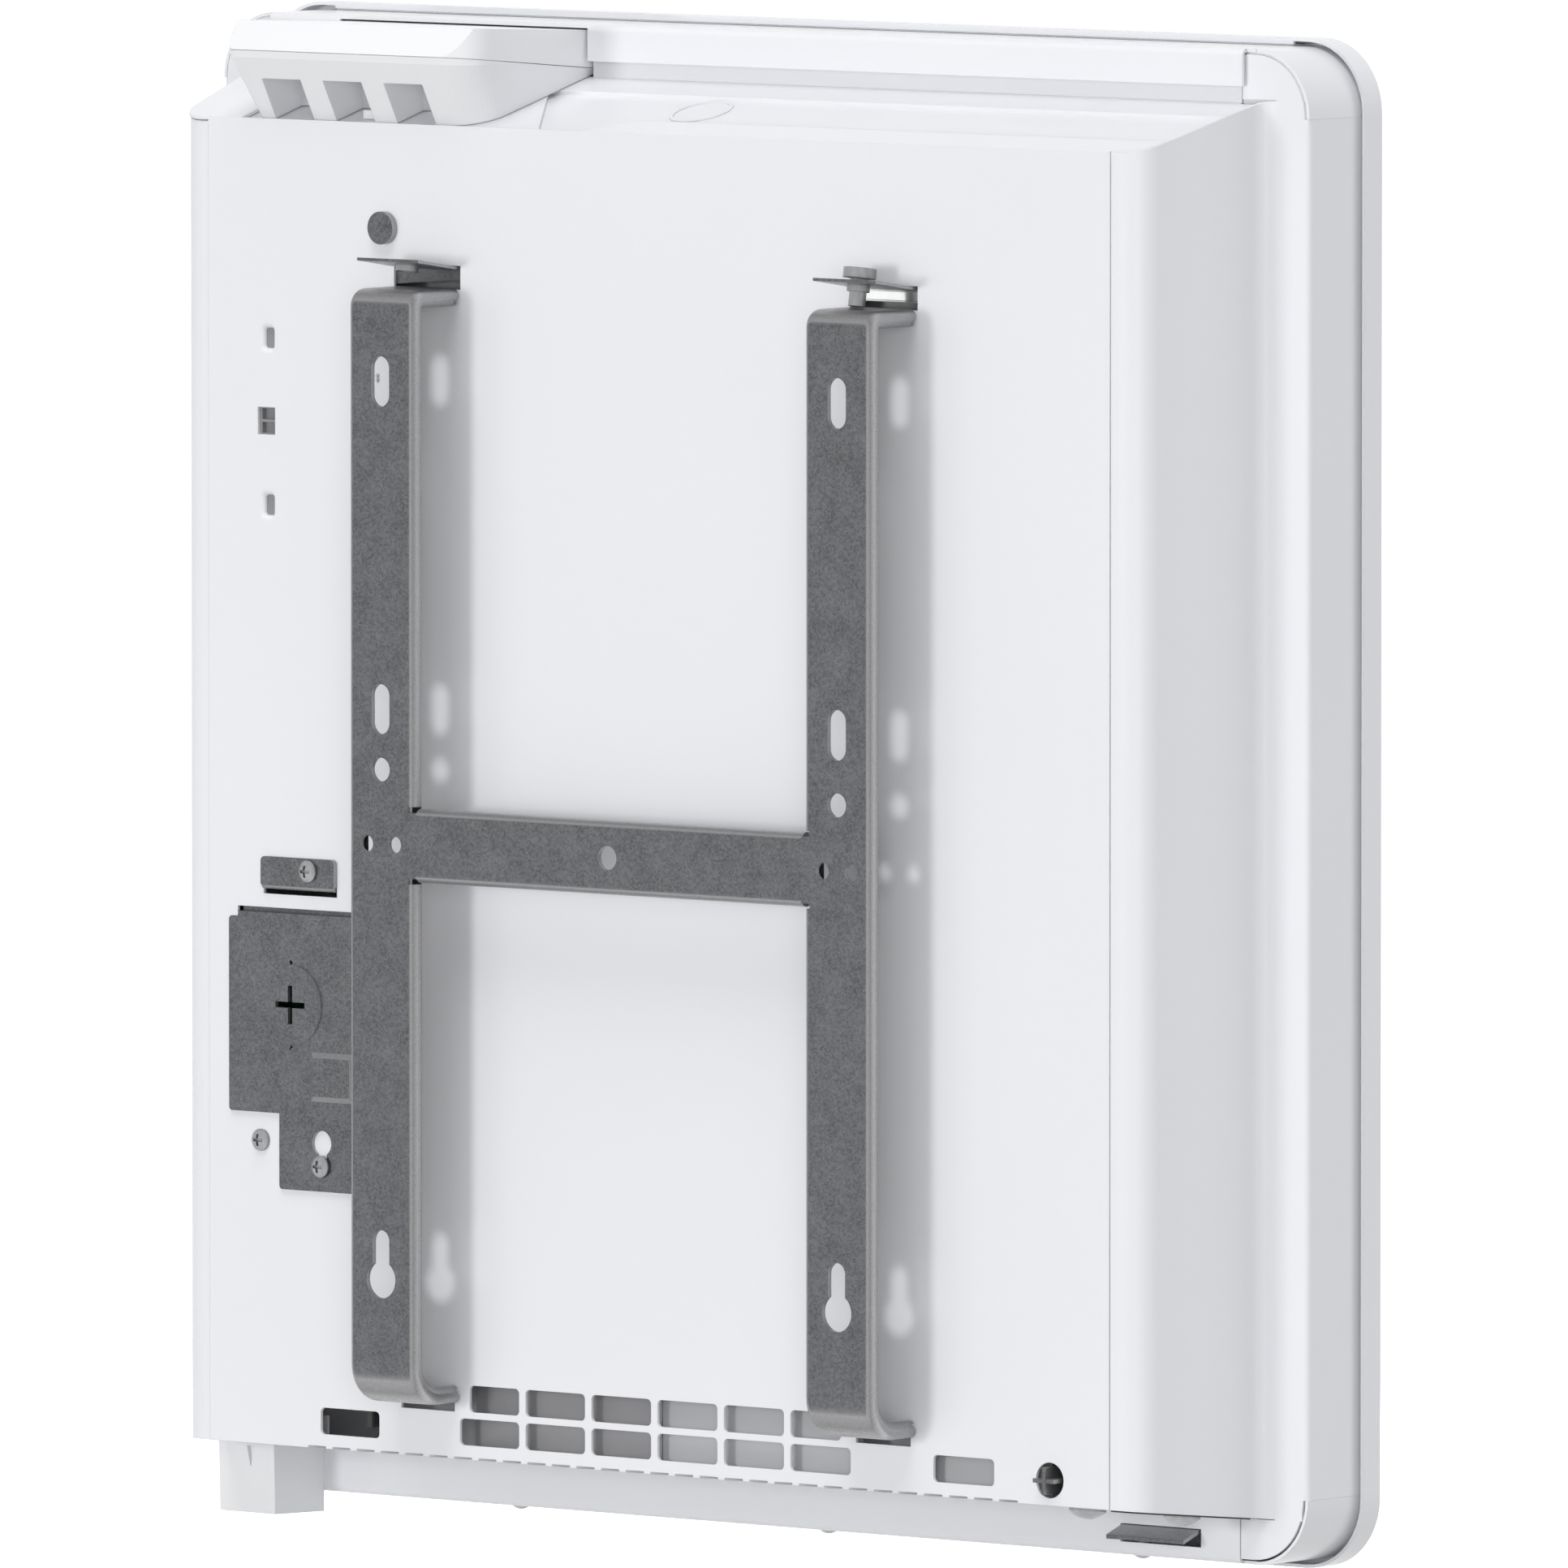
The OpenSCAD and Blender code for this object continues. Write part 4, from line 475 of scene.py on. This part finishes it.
def strip(name, path, section, height, side, slot):
    """A seal or strip along a path in plan. `height` gives its level at a depth, and side -1 mirrors it."""
    rings = []
    for x, depth, normal_x, normal_depth in path:
        ring = []
        for inset, lift in section:
            inner = depth + normal_depth * inset
            ring.append((side * (x + normal_x * inset), -inner, height(inner) + lift))
        rings.append(ring)
    piece(name, [rings], "heater", slot)


def bar_outline(length, inset):
    """(along, across) points of a round-ended bar, drawn in by `inset`."""
    radius = MARK_WIDTH / 2 - inset
    half = length / 2 - MARK_WIDTH / 2
    points = []
    for side in SIDES:
        for i in range(MARK_STEPS + 1):
            a = math.radians(-90 + 180 * i / MARK_STEPS)
            points.append((side * (half + radius * math.cos(a)), side * radius * math.sin(a)))
    return points


def raised_bar(cx, cz, face, length, upright):
    """Rings of a bar that stands in front of a face, with an eased edge."""
    ease = MARK_HEIGHT / 2
    rings = []
    for rise, inset in ((0.0, 0.0), (MARK_HEIGHT - ease, 0.0), (MARK_HEIGHT, ease)):
        ring = []
        for along, across in bar_outline(length, inset):
            dx, dz = (across, along) if upright else (along, across)
            ring.append((cx + dx, face - rise, cz + dz))
        rings.append(ring)
    return rings


def key_marks():
    """Minus, menu and plus signs on the keys. The plus has an upright in two halves that stop at its bar."""
    bar = [(0.0, MARK_LENGTH, False)]
    rows = [(step * MARK_PITCH, MARK_LENGTH, False) for step in (-1, 0, 1)]
    half = (MARK_LENGTH - MARK_WIDTH) / 2
    uprights = [(side * (MARK_WIDTH + half) / 2, half, True) for side in SIDES]
    for sign, bars in (("minus", bar), ("menu", rows), ("plus", bar + uprights)):
        low, high = (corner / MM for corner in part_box("key_" + sign))
        cx, cz = (low.x + high.x) / 2, (low.z + high.z) / 2
        skins = [raised_bar(cx, cz + up, low.y, length, upright) for up, length, upright in bars]
        piece("mark_" + sign, skins, "key_" + sign, "black_plastic")


def panel_pips():
    """Two small pressed pips on the rear panel, seen through the right rail's upper slot. Their grey finish,
    darker than the panel's paint, is painted shade.
    """
    turns = [math.radians(360 * k / PIP_SIDES) for k in range(PIP_SIDES)]
    skins = []
    for z in PIP_HEIGHTS:
        rings = []
        for i in range(PIP_STEPS + 1):
            a = math.radians(PIP_SWEEP * i / PIP_STEPS)
            radius, y = PIP_RADIUS * math.cos(a), PANEL_REAR + PIP_RISE * math.sin(a)
            rings.append([(PIP_X + radius * math.cos(t), y, z + radius * math.sin(t)) for t in turns])
        skins.append(rings)
    # Painted shade: the pips wear the grey screw finish instead of the panel's white
    piece("panel_pips", skins, "heater", "white_screw")


def window_foil():
    """Bright foil with a turned rim, behind the window under the lock screw's tab."""
    rings = []
    for rise, inset in FOIL_RIM:
        y = FOIL_BACK + rise
        x0, x1 = FOIL_X[0] + inset, FOIL_X[1] - inset
        z0, z1 = FOIL_Z[0] + inset, FOIL_Z[1] - inset
        rings.append([(x0, y, z0), (x1, y, z0), (x1, y, z1), (x0, y, z1)])
    piece("window_foil", [rings], "heater", "element_aluminium")


def lip_liner():
    """Seal in the slit between the shell's top and the front panel's lip."""
    low, high = SHELL_TOP + LIP_UNDER, SHELL_TOP + LIP_OVER
    outline = [(LIP_NOSE, (low + high) / 2), (LIP_REAR, high), (LIP_FRONT, high), (LIP_FRONT, low),
               (LIP_REAR, low)]
    extruded("lip_liner", outline, "x", (-LIP_HALF, LIP_HALF), "white_plastic")


def corner_liners():
    """Seals between the shell's round top corners and the plates that close them."""
    inner, outer = SHELL_RADIUS - CORNER_INNER, SHELL_RADIUS - CORNER_OUTER
    section = ((inner, CORNER_INNER_REAR), (outer, CORNER_OUTER_REAR), (outer, CORNER_FRONT),
               (inner, CORNER_FRONT))
    stations = [(-CORNER_RUN, 90.0)] + [(0.0, 90 - 90 * i / CORNER_STEPS) for i in range(CORNER_STEPS + 1)]
    skins = []
    for side in SIDES:
        rings = []
        for run, angle in stations:
            a = math.radians(angle)
            rings.append([(side * (SHELL_CENTRE + run + radius * math.cos(a)), y,
                           SHELL_TOP - SHELL_RADIUS + radius * math.sin(a)) for radius, y in section])
        skins.append(rings)
    piece("corner_liners", skins, "heater", "white_enamel")


def corner_fillers():
    """Folded tabs behind the notches where the top, the side panels and their flanges meet."""
    web, foot = TAB_REAR - THIN_SHEET, TAB_BOTTOM + THIN_SHEET
    outline = [(TAB_REAR, TAB_TOP), (web, TAB_TOP), (web, foot), (TAB_FRONT, foot), (TAB_FRONT, TAB_BOTTOM),
               (TAB_REAR, TAB_BOTTOM)]
    for name, side in (("corner_filler_left", -1), ("corner_filler_right", 1)):
        extruded(name, outline, "x", [side * x for x in TAB_X], "white_enamel")


def seam_gasket():
    """Thin gasket in the seam between the control unit's base and cap, along the rear and both sides."""
    low, high = (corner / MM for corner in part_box("control_cap"))
    rear = -high.y
    path = [(low.x, GASKET_END, 1, 0)]
    path += round_corner(low.x + GASKET_WIDE, rear + GASKET_WIDE, GASKET_WIDE, 180, 90, GASKET_WIDE_STEPS)
    path += round_corner(high.x - GASKET_TIGHT, rear + GASKET_TIGHT, GASKET_TIGHT, 90, 0, GASKET_TIGHT_STEPS)
    path.append((high.x, GASKET_END, -1, 0))

    def seam(depth):
        return low.z - SEAM_GAP + SEAM_RISE * max(SEAM_BEND - depth, 0.0)

    strip("seam_gasket", path, GASKET_SECTION, seam, 1, "white_plastic")


def vent_baffles():
    """Sheets behind the air slots: a bright one, a dull grey one swept in at its end whose darker grey is
    painted shade for the slots' dim insides, and one at a single slot.
    """
    near, face = PANEL_INSIDE - BAFFLE_GAP, PANEL_INSIDE - BAFFLE_DEPTH
    back = face - THIN_SHEET
    start, end = BRIGHT_X
    inside = start + THIN_SHEET
    outline = [(start, near), (inside, near), (inside, face), (end, face), (end, back), (start, back)]
    extruded("vent_baffle", outline, "z", VENT_ROWS, "aluminised")
    # Painted shade: this grey sheet is darker than the bright one, standing in for the shade inside those
    # slots
    swept, flange, inside = face - DUCT_SWEEP, face - DUCT_FLANGE, DUCT_END - THIN_SHEET
    outline = [(DUCT_START, face), (DUCT_BEND, face), (DUCT_END, swept), (DUCT_END, flange), (inside, flange),
               (inside, back - DUCT_SWEEP_IN), (DUCT_BEND, back), (DUCT_START, back)]
    extruded("duct_wall_painted_shade", outline, "z", VENT_ROWS, "grey_plastic")
    start, end = SINGLE_X
    left, right = start + THIN_SHEET, end - THIN_SHEET
    outline = [(start, near), (left, near), (left, face), (right, face), (right, near), (end, near),
               (end, back), (start, back)]
    extruded("end_baffle", outline, "z", SINGLE_ROW, "aluminised")


def vent_post():
    """Folded post that stands on the bottom plate behind the other single slot."""
    start, end = POST_X
    web, lip, inside = POST_REAR - POST_SHEET, POST_REAR - POST_LIP, end - POST_SHEET
    outline = [(start, POST_REAR), (end, POST_REAR), (end, lip), (inside, lip), (inside, web), (start, web)]
    extruded("vent_post", outline, "z", POST_Z, "aluminised")


def partition_shade_strip():
    """Black strip with a bead along the partition's edge, inside the same slot, and the cap on that edge:
    painted shade that makes the slot's inside dark.
    """
    # Painted shade: black pieces right behind the slot, where there is only shade
    extruded("partition_shade_strip", SHADE_STRIP_OUTLINE, "z", SHADE_STRIP_Z, "black_plastic")
    extruded("partition_shade_cap", CAP_OUTLINE, "z", CAP_Z, "black_plastic")


def side_shadow_strip():
    """Black strip under the left side panel's lower edge, round its rear corner and along the flared wall: a
    painted shadow line where there is only shade.
    """
    rear = -PANEL_REAR
    outer = rear + EDGE_GAP
    path = [(EDGE_START, outer, 0.0, 1.0)]
    path += round_corner(EDGE_CENTRE, outer + EDGE_ROUND, EDGE_ROUND, *EDGE_ANGLES, EDGE_STEPS)
    path.append((FLARE_END[0], rear + FLARE_END[1], *FLARE_NORMAL))

    def edge(depth):
        return EDGE_HEIGHT - EDGE_FALL * (depth - outer)

    # Painted shadow: a black strip stands for the dark line under the panel's edge
    strip("side_shadow_strip", path, EDGE_SECTION, edge, -1, "black_plastic")


def add_pieces():
    """Makes every piece that the CAD doesn't have."""
    key_marks()
    panel_pips()
    window_foil()
    lip_liner()
    corner_liners()
    corner_fillers()
    seam_gasket()
    vent_baffles()
    vent_post()
    partition_shade_strip()
    side_shadow_strip()


def hang_lamp(kind, name, place, target, size, strength):
    """Places a lamp that leaves no highlight of its own: the white room around gives the reflections."""
    lamp = bpy.data.lights.new(name, kind)
    lamp.energy = strength
    if kind == "AREA":
        lamp.shape = "SQUARE"
        lamp.size = size
    else:
        lamp.angle = math.radians(size)
    obj = bpy.data.objects.new(name, lamp)
    obj.location = place
    obj.rotation_mode = "QUATERNION"
    obj.rotation_quaternion = (Vector(target) - Vector(place)).to_track_quat("-Z", "Y")
    obj.visible_glossy = False
    bpy.context.scene.collection.objects.link(obj)


def empty_tree(owner):
    """The node tree of a world or material, cleared."""
    owner.use_nodes = True
    owner.node_tree.nodes.clear()
    return owner.node_tree


def seen_directly(tree):
    """1 for camera, glossy and transmission rays, which see the white background, and 0 for others."""
    path = tree.nodes.new("ShaderNodeLightPath")
    total = path.outputs["Is Camera Ray"]
    for ray in ("Is Glossy Ray", "Is Transmission Ray"):
        node = tree.nodes.new("ShaderNodeMath")
        node.operation = "MAXIMUM"
        tree.links.new(total, node.inputs[0])
        tree.links.new(path.outputs[ray], node.inputs[1])
        total = node.outputs["Value"]
    return total


def studio_world():
    """White where it is seen or mirrored, and a softer light for everything else."""
    world = bpy.data.worlds.new("studio")
    bpy.context.scene.world = world
    tree = empty_tree(world)
    mix = tree.nodes.new("ShaderNodeMixShader")
    tree.links.new(seen_directly(tree), mix.inputs["Fac"])
    for socket, strength in ((1, AMBIENT), (2, 1.0)):
        room = tree.nodes.new("ShaderNodeBackground")
        room.inputs["Color"].default_value = WHITE
        room.inputs["Strength"].default_value = strength
        tree.links.new(room.outputs[0], mix.inputs[socket])
    out = tree.nodes.new("ShaderNodeOutputWorld")
    tree.links.new(mix.outputs[0], out.inputs["Surface"])


def floor_material():
    """Pale floor that shows white around the heater's shadow."""
    mat = bpy.data.materials.new("studio_floor")
    tree = empty_tree(mat)
    paint = tree.nodes.new("ShaderNodeBsdfDiffuse")
    paint.inputs["Color"].default_value = FLOOR_GREY
    dim = tree.nodes.new("ShaderNodeMath")
    dim.operation = "MULTIPLY"
    dim.inputs[1].default_value = FLOOR_GLOW
    tree.links.new(seen_directly(tree), dim.inputs[0])
    glow = tree.nodes.new("ShaderNodeEmission")
    tree.links.new(dim.outputs["Value"], glow.inputs["Strength"])
    both = tree.nodes.new("ShaderNodeAddShader")
    tree.links.new(paint.outputs[0], both.inputs[0])
    tree.links.new(glow.outputs[0], both.inputs[1])
    out = tree.nodes.new("ShaderNodeOutputMaterial")
    tree.links.new(both.outputs[0], out.inputs["Surface"])
    return mat


def make_floor():
    """A plain floor below the hanging heater."""
    z = CAD_BOX[0].z - FLOOR_DROP
    corners = [(x * FLOOR_REACH, y * FLOOR_REACH, z) for x, y in ((-1, -1), (1, -1), (1, 1), (-1, 1))]
    mesh = bpy.data.meshes.new("floor")
    mesh.from_pydata(corners, [], [(0, 1, 2, 3)])
    mesh.materials.append(floor_material())
    floor = bpy.data.objects.new("floor", mesh)
    bpy.context.scene.collection.objects.link(floor)


def make_camera():
    """The photograph's camera: behind the heater, a little above it and to one side."""
    a, e = CAMERA_AZIMUTH, CAMERA_ELEVATION
    back = Vector((math.sin(a) * math.cos(e), -math.cos(a) * math.cos(e), math.sin(e)))
    right = Vector((math.cos(a), math.sin(a), 0.0))
    up = back.cross(right)
    data = bpy.data.cameras.new("camera")
    data.sensor_width = CAMERA_SENSOR
    data.lens = CAMERA_LENS
    data.clip_end = CAMERA_REACH
    camera = bpy.data.objects.new("camera", data)
    camera.location = back * CAMERA_DISTANCE + right * AIM_RIGHT + up * AIM_UP
    camera.rotation_mode = "QUATERNION"
    camera.rotation_quaternion = Matrix((right, up, back)).transposed().to_quaternion()
    bpy.context.scene.collection.objects.link(camera)
    bpy.context.scene.camera = camera


add_pieces()
make_camera()
make_floor()
studio_world()
for row in LAMPS:
    hang_lamp(*row)
bpy.context.scene.view_settings.view_transform = "Standard"
